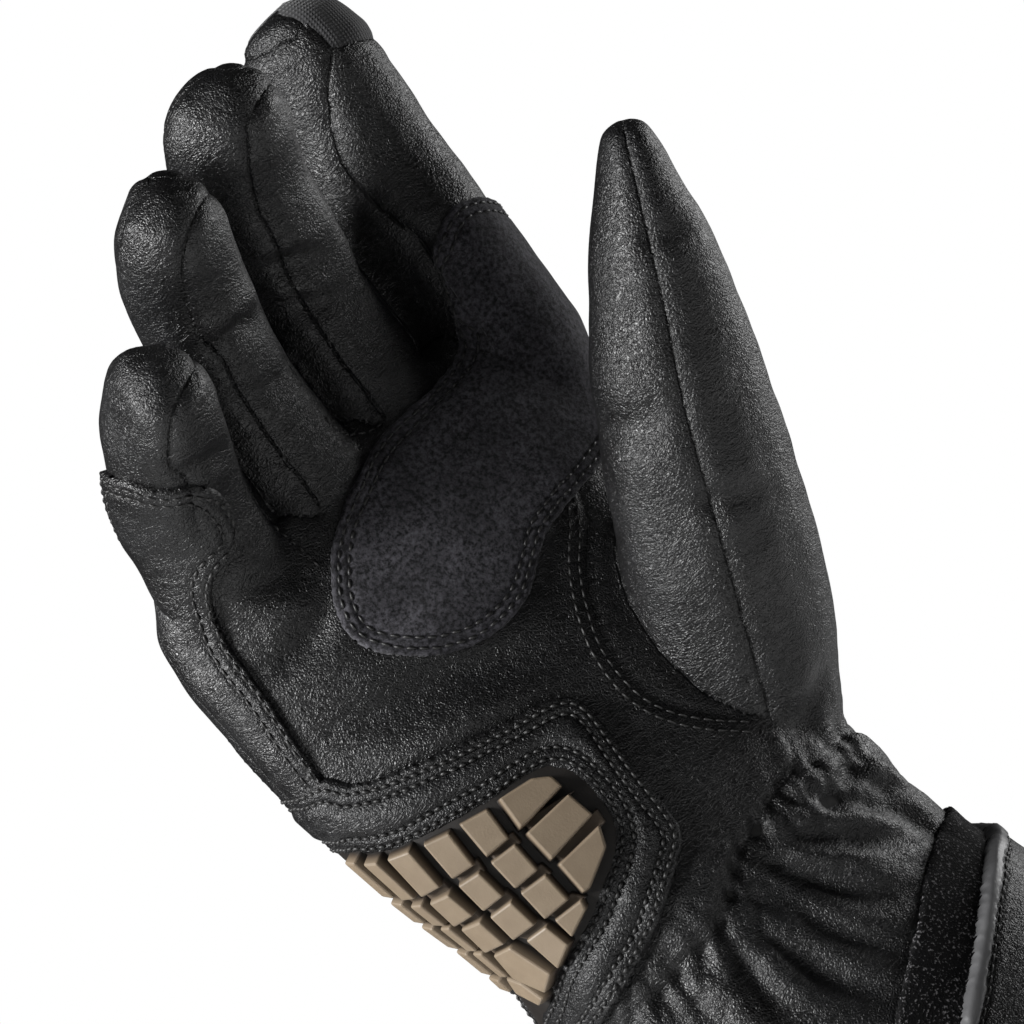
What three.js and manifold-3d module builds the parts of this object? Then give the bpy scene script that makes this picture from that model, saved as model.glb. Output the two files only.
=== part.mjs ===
// A right-hand motorcycle glove in black leather, held in the shape that it has on a hand.
// Millimetres. +Z runs from the cuff's rim to the fingertips, +X points to the thumb's side and -Y is the
// palm's side. The origin is the middle of the cuff's opening, where the hand goes in.
import * as THREE from "three";
import { mergeVertices } from "three/addons/utils/BufferGeometryUtils.js";
import Module from "manifold-3d";

const wasm = await Module();
wasm.setup();

// Main sizes
const CUFF_LENGTH = 74; // rim to the seam that joins the cuff to the hand
const HAND_LENGTH = 110; // that seam to the webs between the fingers
const PALM_HALF_WIDTH = 50;
const PALM_HALF_DEPTH = 20;
const RIM_HALF_WIDTH = 57;
const RIM_HALF_DEPTH = 45;
const FINGER_HALF_WIDTH = 11.8;
const FINGER_HALF_DEPTH = 12.4;
const THUMB_LENGTH = 122;
const THUMB_HALF_WIDTH = 19;

// Thicknesses
const LEATHER = 2; // a lined leather wall
const SUEDE = 1.4;
const OUTER_EDGE = 1.6;
const SURROUND = 1.8;
const SLIDER_BASE = 2;
const SLIDER_BLOCK = 4.2; // from the leather to the top of a block
const STRIP = 1.6;
const FLAP = 2.4;
const BINDING = 1.2;
const SEAM_GAP = 0.3; // between pieces that are sewn edge to edge or on top of one another

const HAND_TOP = CUFF_LENGTH + HAND_LENGTH;
const DEG = Math.PI / 180;
const { lerp, clamp, smoothstep } = THREE.MathUtils;

// Reads one column of a table at any place along it, on a smooth curve through its rows.
function readColumn(rows, column, place) {
  const last = rows.length - 1;
  let i = 0;
  while (i < last - 1 && rows[i + 1].at < place) i += 1;
  const span = rows[i + 1].at - rows[i].at;
  const t = clamp((place - rows[i].at) / span, 0, 1);
  const slope = (k) => {
    const before = rows[Math.max(k - 1, 0)];
    const after = rows[Math.min(k + 1, last)];
    return (after[column] - before[column]) / (after.at - before.at);
  };
  const t2 = t * t;
  const t3 = t2 * t;
  return (
    rows[i][column] * (2 * t3 - 3 * t2 + 1) +
    slope(i) * span * (t3 - 2 * t2 + t) +
    rows[i + 1][column] * (3 * t2 - 2 * t3) +
    slope(i + 1) * span * (t3 - t2)
  );
}

// Turns a closed geometry into a body that can be joined to and cut from others.
function solid(geometry) {
  geometry.deleteAttribute("normal");
  geometry.deleteAttribute("uv");
  const merged = mergeVertices(geometry, 1e-4);
  const index = new Uint32Array(merged.index.array);
  const build = () =>
    new wasm.Manifold(
      new wasm.Mesh({
        numProp: 3,
        vertProperties: new Float32Array(merged.getAttribute("position").array),
        triVerts: index,
      }),
    );
  const made = build();
  if (made.volume() >= 0) return made;
  for (let i = 0; i < index.length; i += 3) {
    const second = index[i + 1];
    index[i + 1] = index[i + 2];
    index[i + 2] = second;
  }
  return build();
}

const unite = (bodies) => bodies.reduce((a, b) => a.add(b));

// A closed tube: shape(t, angle, r) places a point t along it, at an angle round it, where r is 1 on its
// side and 0 at the middle of its ends.
function tube(segments, steps, shape) {
  const geometry = new THREE.CylinderGeometry(1, 1, 1, segments, steps);
  const position = geometry.getAttribute("position");
  const p = new THREE.Vector3();
  for (let i = 0; i < position.count; i += 1) {
    p.fromBufferAttribute(position, i);
    const placed = shape(p.y + 0.5, Math.atan2(p.z, p.x), Math.min(1, Math.hypot(p.x, p.z)));
    position.setXYZ(i, placed.x, placed.y, placed.z);
  }
  return solid(geometry);
}

// A corner-rounded oval: where its edge lies at an angle
const ROUNDNESS = 2.35;
function oval(angle, left, right, front, back) {
  const c = Math.cos(angle);
  const s = Math.sin(angle);
  const x = Math.sign(c) * Math.abs(c) ** (2 / ROUNDNESS) * (c > 0 ? right : left);
  const y = Math.sign(s) * Math.abs(s) ** (2 / ROUNDNESS) * (s > 0 ? back : front);
  return [x, y];
}

// The hand above the wrist seam. "at" is a share of the hand's length, little and thumb are the half widths
// to those sides as shares of the palm's, and palm and back are the half depths as shares of the palm's.
const HAND_ROWS = [
  { at: 0.0, little: 0.84, thumb: 0.84, palm: 1.42, back: 1.4 },
  { at: 0.12, little: 0.9, thumb: 0.86, palm: 1.38, back: 1.18 },
  { at: 0.3, little: 1.03, thumb: 0.88, palm: 1.24, back: 1.02 },
  { at: 0.5, little: 1.12, thumb: 0.92, palm: 1.06, back: 0.94 },
  { at: 0.7, little: 1.16, thumb: 0.97, palm: 0.93, back: 0.87 },
  { at: 0.86, little: 1.1, thumb: 0.99, palm: 0.8, back: 0.8 },
  { at: 0.96, little: 1.02, thumb: 0.97, palm: 0.62, back: 0.64 },
  { at: 1.0, little: 0.94, thumb: 0.92, palm: 0.38, back: 0.42 },
];
const HAND_SEGMENTS = 32;
const HAND_STEPS = 8;

function handEdge(at, angle, grow) {
  const side = (column, size) => readColumn(HAND_ROWS, column, at) * size + grow;
  return oval(
    angle,
    side("little", PALM_HALF_WIDTH),
    side("thumb", PALM_HALF_WIDTH),
    side("palm", PALM_HALF_DEPTH),
    side("back", PALM_HALF_DEPTH),
  );
}

// The cuff below the wrist seam, which flares from the wrist's section to the rim's
const CUFF_ROWS = [
  { at: 0, flare: 1 },
  { at: 0.3, flare: 0.66 },
  { at: 0.55, flare: 0.34 },
  { at: 0.8, flare: 0.06 },
  { at: 1, flare: 0 },
];
const CUFF_SEGMENTS = 40;
const CUFF_STEPS = 5;

// The leather is gathered at the wrist into folds that fade towards the rim.
const GATHER_DEPTH = 1.6;
const GATHER_COUNT = 10;
const GATHER_END = 0.45; // share of the cuff's length
function gather(at, angle) {
  const palmSide = smoothstep(-Math.sin(angle), -0.25, 0.2);
  const fold = 0.5 + 0.5 * Math.cos(GATHER_COUNT * angle);
  return GATHER_DEPTH * palmSide * fold * smoothstep(at, GATHER_END, 0.85);
}

function cuffEdge(at, angle, grow) {
  const flare = readColumn(CUFF_ROWS, "flare", at);
  const wrist = handEdge(0, angle, 0);
  const rim = oval(angle, RIM_HALF_WIDTH, RIM_HALF_WIDTH, RIM_HALF_DEPTH, RIM_HALF_DEPTH);
  const x = lerp(wrist[0], rim[0], flare);
  const y = lerp(wrist[1], rim[1], flare);
  const out = grow + (grow < 0 ? 0 : gather(at, angle));
  const length = Math.hypot(x, y);
  return [x + (x / length) * out, y + (y / length) * out];
}

// How finely a body is cut: outer surfaces, and the smoother inside of the hollow
const FINE = { hand: HAND_SEGMENTS, handSteps: HAND_STEPS, cuff: CUFF_SEGMENTS, cuffSteps: CUFF_STEPS };
const PLAIN = { hand: 16, handSteps: 4, cuff: 16, cuffSteps: 3 };

function handBody(grow, detail = FINE) {
  const top = 1 + grow / HAND_LENGTH;
  return tube(detail.hand, detail.handSteps, (t, angle, r) => {
    const at = lerp(0, top, t);
    const [x, y] = handEdge(at, angle, grow);
    return new THREE.Vector3(x * r, y * r, CUFF_LENGTH + at * HAND_LENGTH);
  });
}

function cuffBody(grow, detail = FINE) {
  return tube(detail.cuff, detail.cuffSteps, (t, angle, r) => {
    const [x, y] = cuffEdge(t, angle, grow);
    return new THREE.Vector3(x * r, y * r, t * CUFF_LENGTH);
  });
}

// The four fingers, from the index to the little one. across and depth place the knuckle as shares of the
// palm's half sizes, and up as a share of the hand's length. length is in finger half widths. root, mid and
// tip are the bends at the three joints, and turn is the front strip's turn to the thumb, all in degrees.
const FINGER_ROWS = [
  { across: 0.75, up: 0.76, depth: -0.15, length: 7.6, splay: 2.5, root: 1, mid: 3, tip: 12, turn: 0 },
  { across: 0.17, up: 0.8, depth: 0.07, length: 8.2, splay: -3, root: 9, mid: 36, tip: 20, turn: 18 },
  { across: -0.28, up: 0.75, depth: 0, length: 7.8, splay: -5, root: 16, mid: 29, tip: 17, turn: 18 },
  { across: -0.76, up: 0.74, depth: 0.05, length: 5.9, splay: -3.5, root: 24, mid: 30, tip: 16, turn: 18 },
];
const FIRST_JOINT = 0.5; // share of the length from the knuckle
const SECOND_JOINT = 0.8;
const JOINT_SPREAD = 0.1;

// Half thickness along a finger, as a share of its half width or depth
const FINGER_PROFILE = [
  { at: 0, wide: 0.7, deep: 0.7 },
  { at: 0.167, wide: 1.04, deep: 1.02 },
  { at: 0.334, wide: 1.03, deep: 1.02 },
  { at: 0.5, wide: 1, deep: 1.02 },
  { at: 0.68, wide: 0.98, deep: 0.95 },
  { at: 0.82, wide: 1, deep: 0.98 },
  { at: 1, wide: 0.94, deep: 0.9 },
];

// A bent line, which can be asked for a point, a forward, a side and a palm direction at any share of it
const LINE_PARTS = 60;
function bentLine(root, length, sideways, heading) {
  const points = [root.clone()];
  for (let i = 0; i < LINE_PARTS; i += 1) {
    const step = heading((i + 0.5) / LINE_PARTS).multiplyScalar(length / LINE_PARTS);
    points.push(points[i].clone().add(step));
  }
  return (place) => {
    const inside = clamp(place, 0, 1);
    const i = Math.min(Math.floor(inside * LINE_PARTS), LINE_PARTS - 1);
    const forward = heading(inside);
    const point = points[i].clone().lerp(points[i + 1], inside * LINE_PARTS - i);
    point.addScaledVector(forward, (place - inside) * length);
    const side = sideways.clone().addScaledVector(forward, -sideways.dot(forward)).normalize();
    return { point, forward, side, palm: side.clone().cross(forward) };
  };
}

function headingOf(splay, lift) {
  const s = splay * DEG;
  const a = lift * DEG;
  return new THREE.Vector3(Math.sin(s) * Math.cos(a), -Math.sin(a), Math.cos(s) * Math.cos(a));
}

function fingerLine(row, length) {
  const around = (place, joint) => smoothstep(place, joint - JOINT_SPREAD, joint + JOINT_SPREAD);
  const heading = (place) =>
    headingOf(
      row.splay,
      row.root * smoothstep(place, -0.1, 0.15) +
        row.mid * around(place, FIRST_JOINT) +
        row.tip * around(place, SECOND_JOINT),
    );
  const root = new THREE.Vector3(
    row.across * PALM_HALF_WIDTH,
    row.depth * PALM_HALF_DEPTH,
    CUFF_LENGTH + row.up * HAND_LENGTH,
  );
  const sideways = new THREE.Vector3(Math.cos(row.splay * DEG), 0, -Math.sin(row.splay * DEG));
  return bentLine(root, length, sideways, heading);
}

const fingers = FINGER_ROWS.map((row) => {
  const length = row.length * FINGER_HALF_WIDTH;
  return {
    length,
    turn: row.turn * DEG,
    halfWidth: FINGER_HALF_WIDTH,
    halfDepth: FINGER_HALF_DEPTH,
    tipReach: 0.85 * FINGER_HALF_WIDTH,
    profile: FINGER_PROFILE,
    line: fingerLine(row, length),
  };
});
const indexFinger = fingers[0];
const littleFinger = fingers[3];

// The thumb leaves the hand near the wrist and stands off the palm.
const THUMB_ACROSS = 0.56;
const THUMB_UP = 0.1;
const THUMB_DEPTH = -0.35;
const THUMB_ROWS = [
  { at: 0, splay: 9, lift: 33, wide: 0.82, deep: 0.86 },
  { at: 0.12, splay: 10, lift: 33, wide: 0.97, deep: 0.93 },
  { at: 0.28, splay: 12, lift: 32, wide: 1.02, deep: 0.95 },
  { at: 0.45, splay: 15, lift: 27, wide: 0.99, deep: 0.9 },
  { at: 0.62, splay: 17, lift: 23, wide: 0.89, deep: 0.84 },
  { at: 0.78, splay: 18, lift: 21, wide: 0.71, deep: 0.72 },
  { at: 0.9, splay: 18, lift: 21, wide: 0.5, deep: 0.56 },
  { at: 1, splay: 18, lift: 21, wide: 0.3, deep: 0.4 },
];
// Its side seams lie fore and aft of the hand, seen a little from the little finger's side.
const THUMB_FACING = 20 * DEG;

function thumbLine() {
  const heading = (place) =>
    headingOf(readColumn(THUMB_ROWS, "splay", place), readColumn(THUMB_ROWS, "lift", place));
  const root = new THREE.Vector3(
    THUMB_ACROSS * PALM_HALF_WIDTH,
    THUMB_DEPTH * PALM_HALF_DEPTH,
    CUFF_LENGTH + THUMB_UP * HAND_LENGTH,
  );
  const sideways = new THREE.Vector3(Math.cos(THUMB_FACING), -Math.sin(THUMB_FACING), 0);
  return bentLine(root, THUMB_LENGTH, sideways, heading);
}

const thumb = {
  length: THUMB_LENGTH,
  turn: -10 * DEG,
  halfWidth: THUMB_HALF_WIDTH,
  halfDepth: THUMB_HALF_WIDTH,
  tipReach: 0.26 * THUMB_HALF_WIDTH,
  profile: THUMB_ROWS,
  line: thumbLine(),
};

// A finger's or the thumb's solid: a bent tube with a round end
const TIP_STEPS = 0.25; // share of the rings that form the round end
function limbBody(limb, grow, segments, steps) {
  const reach = limb.tipReach + grow;
  return tube(segments, steps, (t, angle, r) => {
    const onTip = clamp((t - (1 - TIP_STEPS)) / TIP_STEPS, 0, 1) * 0.47 * Math.PI;
    const place = clamp(t / (1 - TIP_STEPS), 0, 1);
    const frame = limb.line(place + (reach * Math.sin(onTip)) / limb.length);
    const round = Math.cos(onTip) * r;
    const wide = (readColumn(limb.profile, "wide", place) * limb.halfWidth + grow) * round;
    const deep = (readColumn(limb.profile, "deep", place) * limb.halfDepth + grow) * round;
    return frame.point
      .addScaledVector(frame.side, Math.cos(angle) * wide)
      .addScaledVector(frame.palm, Math.sin(angle) * deep);
  });
}

const LIMB_FINE = { finger: 12, thumb: 16, steps: 8 };
const LIMB_PLAIN = { finger: 8, thumb: 10, steps: 5 };
const fingerBody = (finger, grow, detail = LIMB_FINE) =>
  limbBody(finger, grow, detail.finger, detail.steps);
const thumbBody = (grow, detail = LIMB_FINE) => limbBody(thumb, grow, detail.thumb, detail.steps);

// A slice of the space round a limb, along all of it. It spans the angles from "first" to "last", counted
// from the palm direction towards the thumb, and its corner on the limb's line is moved a little towards
// the slice's middle to leave a seam's gap.
const SLICE_POINTS = 8; // a multiple of four
const SLICE_STEPS = 6;
const SLICE_FROM = -0.1;
const SLICE_TO = 1.3;
function slice(limb, first, last, radius, gap) {
  const a = first + limb.turn;
  const b = last + limb.turn;
  const direction = (frame, angle) =>
    frame.palm
      .clone()
      .multiplyScalar(Math.cos(angle))
      .addScaledVector(frame.side, Math.sin(angle));
  return tube(SLICE_POINTS, SLICE_STEPS, (t, round, r) => {
    const frame = limb.line(lerp(SLICE_FROM, SLICE_TO, t));
    const share = (round / (2 * Math.PI) + 1) % 1;
    const step = Math.round(share * SLICE_POINTS) % SLICE_POINTS;
    const corner = frame.point.clone().addScaledVector(direction(frame, (a + b) / 2), gap);
    if (r < 0.5) return corner.addScaledVector(direction(frame, (a + b) / 2), radius / 2);
    if (step === 0) return corner;
    return corner.addScaledVector(direction(frame, lerp(a, b, (step - 1) / (SLICE_POINTS - 2))), radius);
  });
}

// The inside of the glove
const hollow = unite([
  handBody(-LEATHER, PLAIN),
  cuffBody(-LEATHER, PLAIN),
  ...fingers.map((finger) => fingerBody(finger, -LEATHER, LIMB_PLAIN)),
  thumbBody(-LEATHER, LIMB_PLAIN),
]);

const box = (x0, x1, y0, y1, z0, z1) => {
  const geometry = new THREE.BoxGeometry(x1 - x0, y1 - y0, z1 - z0);
  geometry.translate((x0 + x1) / 2, (y0 + y1) / 2, (z0 + z1) / 2);
  return solid(geometry);
};
const FAR = 4 * PALM_HALF_WIDTH;
const palmSide = (edge) => box(-FAR, FAR, -FAR, edge, -FAR, 2 * FAR);
const backSide = (edge) => box(-FAR, FAR, edge, FAR, -FAR, 2 * FAR);
const above = (z) => box(-FAR, FAR, -FAR, FAR, z, 2 * FAR);
const below = (z) => box(-FAR, FAR, -FAR, FAR, -FAR, z);
const HALF_GAP = SEAM_GAP / 2;

const hand = handBody(0);
const handApart = handBody(SEAM_GAP);
const fingerSolids = fingers.map((finger) => fingerBody(finger, 0));
const fingersApart = fingers.map((finger) => fingerBody(finger, SEAM_GAP));

// Each finger is a front strip, a back strip and side walls between them, which all run to the tip.
const STRIP_HALF_ANGLE = 40 * DEG;
const SLICE_RADIUS = 1.35 * FINGER_HALF_DEPTH;
const wholeFinger = (finger, index) =>
  fingersApart.slice(0, index).reduce((body, other) => body.subtract(other), fingerSolids[index]);
const fingerVolumes = fingers.map(wholeFinger);

function frontStrip(finger) {
  const first = -STRIP_HALF_ANGLE;
  const last = finger === indexFinger ? 90 * DEG : STRIP_HALF_ANGLE;
  return slice(finger, first, last, SLICE_RADIUS, HALF_GAP);
}

function backStrip(finger) {
  const first = finger === indexFinger ? 90 * DEG : 180 * DEG - STRIP_HALF_ANGLE;
  const last = finger === littleFinger ? 360 * DEG - STRIP_HALF_ANGLE : 180 * DEG + STRIP_HALF_ANGLE;
  return slice(finger, first, last, SLICE_RADIUS, HALF_GAP);
}

function sideWall(index, thumbSide) {
  const middle = thumbSide ? 90 * DEG : -90 * DEG;
  const half = 90 * DEG - STRIP_HALF_ANGLE;
  const cut = slice(fingers[index], middle - half, middle + half, SLICE_RADIUS, SEAM_GAP);
  return fingerVolumes[index].intersect(cut).subtract(handApart).subtract(hollow);
}

// The index finger's end is a separate cap of cloth.
const CAP_FROM = 0.87;
const fullRound = (limb, from, to, radius) =>
  tube(16, 4, (t, angle, r) => {
    const frame = limb.line(lerp(from, to, t));
    return frame.point
      .addScaledVector(frame.side, Math.cos(angle) * radius * r)
      .addScaledVector(frame.palm, Math.sin(angle) * radius * r);
  });
const capZone = fullRound(indexFinger, CAP_FROM, SLICE_TO, SLICE_RADIUS * 1.1);
const capFrom = CAP_FROM - SEAM_GAP / indexFinger.length;
const capApart = fullRound(indexFinger, capFrom, SLICE_TO, SLICE_RADIUS * 1.1);
const indexTipCap = fingerSolids[0].intersect(capZone).subtract(hollow);

// Palm and back of the hand
const handUp = above(CUFF_LENGTH + HALF_GAP);
const palmBlock = handApart.intersect(palmSide(HALF_GAP));
const backBlock = handApart.intersect(backSide(-HALF_GAP));
const fronts = fingers.map((finger, i) =>
  fingerVolumes[i].intersect(frontStrip(finger)).subtract(backBlock),
);
const backs = fingers.map((finger, i) =>
  fingerVolumes[i].intersect(backStrip(finger)).subtract(palmBlock),
);
const palmPanel = unite([hand.intersect(palmSide(-HALF_GAP)), ...fronts])
  .subtract(hollow)
  .subtract(capApart)
  .intersect(handUp);
const backPanel = unite([hand.intersect(backSide(HALF_GAP)), ...backs])
  .subtract(hollow)
  .subtract(capApart)
  .intersect(handUp);

// The thumb is sewn from two halves along seams before and behind.
const wholeThumb = thumbBody(0).subtract(handApart).subtract(fingersApart[0]).subtract(hollow);
const THUMB_RADIUS = 1.4 * THUMB_HALF_WIDTH;
const thumbPalmHalf = wholeThumb.intersect(slice(thumb, -180 * DEG, 0, THUMB_RADIUS, HALF_GAP));
const thumbBackHalf = wholeThumb.intersect(slice(thumb, 0, 180 * DEG, THUMB_RADIUS, HALF_GAP));

// The cuff's two halves meet at its sides. Their lower edges stand inside the hem's binding.
const HEM_DEPTH = 6;
const cuffRing = cuffBody(0)
  .subtract(hollow)
  .intersect(above(BINDING + SEAM_GAP))
  .intersect(below(CUFF_LENGTH - HALF_GAP));
const cuffPalmPanel = cuffRing.intersect(palmSide(-HALF_GAP));
const cuffBackPanel = cuffRing.intersect(backSide(HALF_GAP));
const hemRing = cuffBody(SEAM_GAP + BINDING)
  .subtract(cuffBody(SEAM_GAP).intersect(above(BINDING)))
  .subtract(hollow)
  .intersect(below(HEM_DEPTH));

// A layer of even thickness that lies on the glove's outer surface without the thumb
function layer(from, thickness) {
  const skin = (grow) =>
    unite([handBody(grow), cuffBody(grow), ...fingers.map((finger) => fingerBody(finger, grow))]);
  return skin(from + thickness).subtract(skin(from));
}

// A straight-sided cutter: an outline of points across and up, pushed out from the glove's middle towards a
// direction in the level plane that is "turn" round from the palm direction to the little finger's side
function cutter(points, turn, from = 0) {
  const shape = new THREE.Shape(points.map(([across, up]) => new THREE.Vector2(across, up)));
  const geometry = new THREE.ExtrudeGeometry(shape, { depth: FAR, bevelEnabled: false });
  geometry.translate(0, 0, from);
  const across = new THREE.Vector3(Math.cos(turn), -Math.sin(turn), 0);
  const out = new THREE.Vector3(-Math.sin(turn), -Math.cos(turn), 0);
  const up = new THREE.Vector3(0, 0, 1);
  geometry.applyMatrix4(new THREE.Matrix4().makeBasis(across, up, out));
  return solid(geometry);
}

// Outlines are tables of places: across as a share of the palm's half width, and up as a share of the
// hand's length above the wrist seam.
const place = ([across, up]) => [across * PALM_HALF_WIDTH, CUFF_LENGTH + up * HAND_LENGTH];
const round = (points) => {
  const curve = new THREE.CatmullRomCurve3(
    points.map(([x, y]) => new THREE.Vector3(x, y, 0)),
    true,
    "centripetal",
  );
  return curve.getPoints(points.length * 2).slice(0, -1).map((p) => [p.x, p.y]);
};

// The suede patch covers the palm under the fingers and runs a tongue up the index finger.
const SUEDE_OUTLINE = [
  [0.8, 1.18],
  [0.65, 1.14],
  [0.59, 1.05],
  [0.53, 0.97],
  [0.33, 0.945],
  [-0.03, 0.925],
  [-0.31, 0.875],
  [-0.51, 0.81],
  [-0.66, 0.69],
  [-0.56, 0.6],
  [-0.28, 0.53],
  [0, 0.54],
  [0.22, 0.61],
  [0.55, 0.64],
  [0.86, 0.68],
  [1.2, 0.78],
  [1.2, 1.08],
  [0.95, 1.16],
];
const suedePatch = layer(SEAM_GAP, SUEDE)
  .intersect(cutter(round(SUEDE_OUTLINE.map(place)), 0))
  .subtract(thumbBody(SEAM_GAP));

// The little finger's side of the hand carries the other overlays. They are laid out on a plane that is
// turned from the palm direction towards the little finger.
const EDGE_TURN = 53 * DEG;
const EDGE_OUTLINE = [
  [-0.26, 1.16],
  [-0.13, 1.15],
  [-0.08, 1.09],
  [-0.02, 1.03],
  [-0.07, 0.97],
  [-0.16, 0.92],
  [-0.34, 0.875],
  [-0.43, 0.81],
  [-0.43, 0.69],
  [-0.47, 0.56],
  [-0.46, 0.49],
  [-0.5, 0.42],
  [-0.66, 0.41],
  [-0.8, 0.42],
  [-0.83, 0.6],
  [-0.8, 0.78],
  [-0.62, 0.95],
  [-0.36, 1.08],
];
const EDGE_FROM = 0.8; // share of the palm's half width that keeps the cutter off the ring finger
const outerEdgePanel = layer(SEAM_GAP, OUTER_EDGE).intersect(
  cutter(EDGE_OUTLINE.map(place), EDGE_TURN, EDGE_FROM * PALM_HALF_WIDTH),
);

const SURROUND_OUTLINE = [
  [-0.84, 0.385],
  [-0.6, 0.39],
  [-0.22, 0.385],
  [0.17, 0.4],
  [0.29, 0.36],
  [0.34, 0.29],
  [0.36, 0.165],
  [0.32, 0.06],
  [0.22, -0.015],
  [0.02, -0.065],
  [-0.28, -0.11],
  [-0.6, -0.125],
  [-0.84, -0.12],
];
const WINDOW_OUTLINE = [
  [-0.72, 0.33],
  [-0.56, 0.335],
  [-0.23, 0.32],
  [0.07, 0.305],
  [0.17, 0.27],
  [0.21, 0.215],
  [0.19, 0.145],
  [0.09, 0.08],
  [-0.15, 0],
  [-0.4, -0.035],
  [-0.72, -0.045],
];
const PAD_FROM = 0.2;
const PAD_BACK = 0.45; // how far it goes round to the back, as a share of the palm's half depth
const WINDOW_BACK = 0.1;
const padCutter = (outline, back) =>
  cutter(outline, EDGE_TURN, PAD_FROM * PALM_HALF_WIDTH).intersect(palmSide(back));
const windowCut = padCutter(WINDOW_OUTLINE.map(place), WINDOW_BACK * PALM_HALF_DEPTH);
const sliderSurround = layer(SEAM_GAP, SURROUND)
  .intersect(padCutter(SURROUND_OUTLINE.map(place), PAD_BACK * PALM_HALF_DEPTH))
  .subtract(windowCut)
  .subtract(thumbBody(SEAM_GAP));

// Moves an outline's edges towards its inside by a distance.
function inset(points, distance) {
  const count = points.length;
  const turning = points.reduce((sum, [x, y], i) => {
    const [u, v] = points[(i + 1) % count];
    return sum + x * v - u * y;
  }, 0);
  const inward = Math.sign(turning) * distance;
  return points.map(([x, y], i) => {
    const before = points[(i + count - 1) % count];
    const after = points[(i + 1) % count];
    const first = new THREE.Vector2(x - before[0], y - before[1]).normalize();
    const second = new THREE.Vector2(after[0] - x, after[1] - y).normalize();
    const middle = first.clone().add(second).normalize();
    const reach = inward / Math.max(0.4, middle.dot(first));
    return [x - middle.y * reach, y + middle.x * reach];
  });
}

// The slider is one rubber moulding: a base with rows of bevelled blocks.
const sliderOutline = inset(WINDOW_OUTLINE.map(place), SEAM_GAP);
const sliderCut = padCutter(sliderOutline, WINDOW_BACK * PALM_HALF_DEPTH - SEAM_GAP);
const BLOCK_PITCH = 8.5;
const BLOCK_GROOVE = 1.5;
const BLOCK_BEVEL = 0.6;
const BLOCK_SLANT = -0.1; // the rows fall a little towards the palm
const BLOCK_COLUMNS = [-4, -3, -2, -1, 0, 1];
const BLOCK_ROWS = [0, 1, 2, 3, 4];
const ROW_START = -0.02;

// Where the hand's or cuff's surface lies at a place on the little finger side's plane
function surfaceAt(across, z) {
  const edge = (angle) =>
    z >= CUFF_LENGTH
      ? handEdge((z - CUFF_LENGTH) / HAND_LENGTH, angle, 0)
      : cuffEdge(z / CUFF_LENGTH, angle, 0);
  const sideOf = (angle) => {
    const [x, y] = edge(angle);
    return x * Math.cos(EDGE_TURN) - y * Math.sin(EDGE_TURN);
  };
  // The place is looked for between the two angles that bound the side facing out of the plane.
  const facing = -Math.PI / 2 - EDGE_TURN;
  let low = facing - 0.45 * Math.PI;
  let high = facing + 0.45 * Math.PI;
  for (let i = 0; i < 30; i += 1) {
    const middle = (low + high) / 2;
    if (sideOf(middle) < across) low = middle;
    else high = middle;
  }
  const [x, y] = edge((low + high) / 2);
  return new THREE.Vector3(x, y, z);
}

function block(column, row) {
  const across = (column + 0.5) * BLOCK_PITCH;
  const up = CUFF_LENGTH + ROW_START * HAND_LENGTH + (row + 0.5) * BLOCK_PITCH + BLOCK_SLANT * across;
  const centre = surfaceAt(across, up);
  const alongAcross = surfaceAt(across + 1, up).sub(surfaceAt(across - 1, up)).normalize();
  const alongUp = surfaceAt(across, up + 1).sub(surfaceAt(across, up - 1)).normalize();
  const out = alongAcross.clone().cross(alongUp).negate().normalize();
  if (out.x > 0) out.negate();
  const half = (BLOCK_PITCH - BLOCK_GROOVE) / Math.SQRT2;
  const height = SLIDER_BLOCK - SEAM_GAP - SLIDER_BASE / 2;
  const geometry = new THREE.CylinderGeometry(half - BLOCK_BEVEL * Math.SQRT2, half, height, 4);
  geometry.rotateY(Math.PI / 4);
  geometry.translate(0, SEAM_GAP + SLIDER_BASE / 2 + height / 2, 0);
  const side = alongUp.clone().cross(out).normalize();
  geometry.applyMatrix4(new THREE.Matrix4().makeBasis(alongUp, out, side));
  geometry.translate(centre.x, centre.y, centre.z);
  return solid(geometry);
}

const blocks = BLOCK_COLUMNS.flatMap((column) => BLOCK_ROWS.map((row) => block(column, row)));
const palmSlider = layer(SEAM_GAP, SLIDER_BASE)
  .add(unite(blocks))
  .intersect(sliderCut)
  .subtract(thumbBody(SEAM_GAP));

// The strip that the flap fastens to runs slantwise over the cuff's palm side. Places on the cuff are
// shares of the rim's half width and of the cuff's length.
const cuffPlace = ([across, up]) => [across * RIM_HALF_WIDTH, up * CUFF_LENGTH];
const STRIP_OUTLINE = [
  [0.8, 0.67],
  [0.64, 0.66],
  [0.48, 0.62],
  [0.25, 0.52],
  [0, 0.4],
  [-0.22, 0.27],
  [-0.38, 0.12],
  [0.3, 0.12],
  [0.8, 0.3],
];
const cuffLayer = (from, thickness) => cuffBody(from + thickness).subtract(cuffBody(from));
const loopStrip = cuffLayer(SEAM_GAP, STRIP).intersect(cutter(STRIP_OUTLINE.map(cuffPlace), 0));

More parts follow.
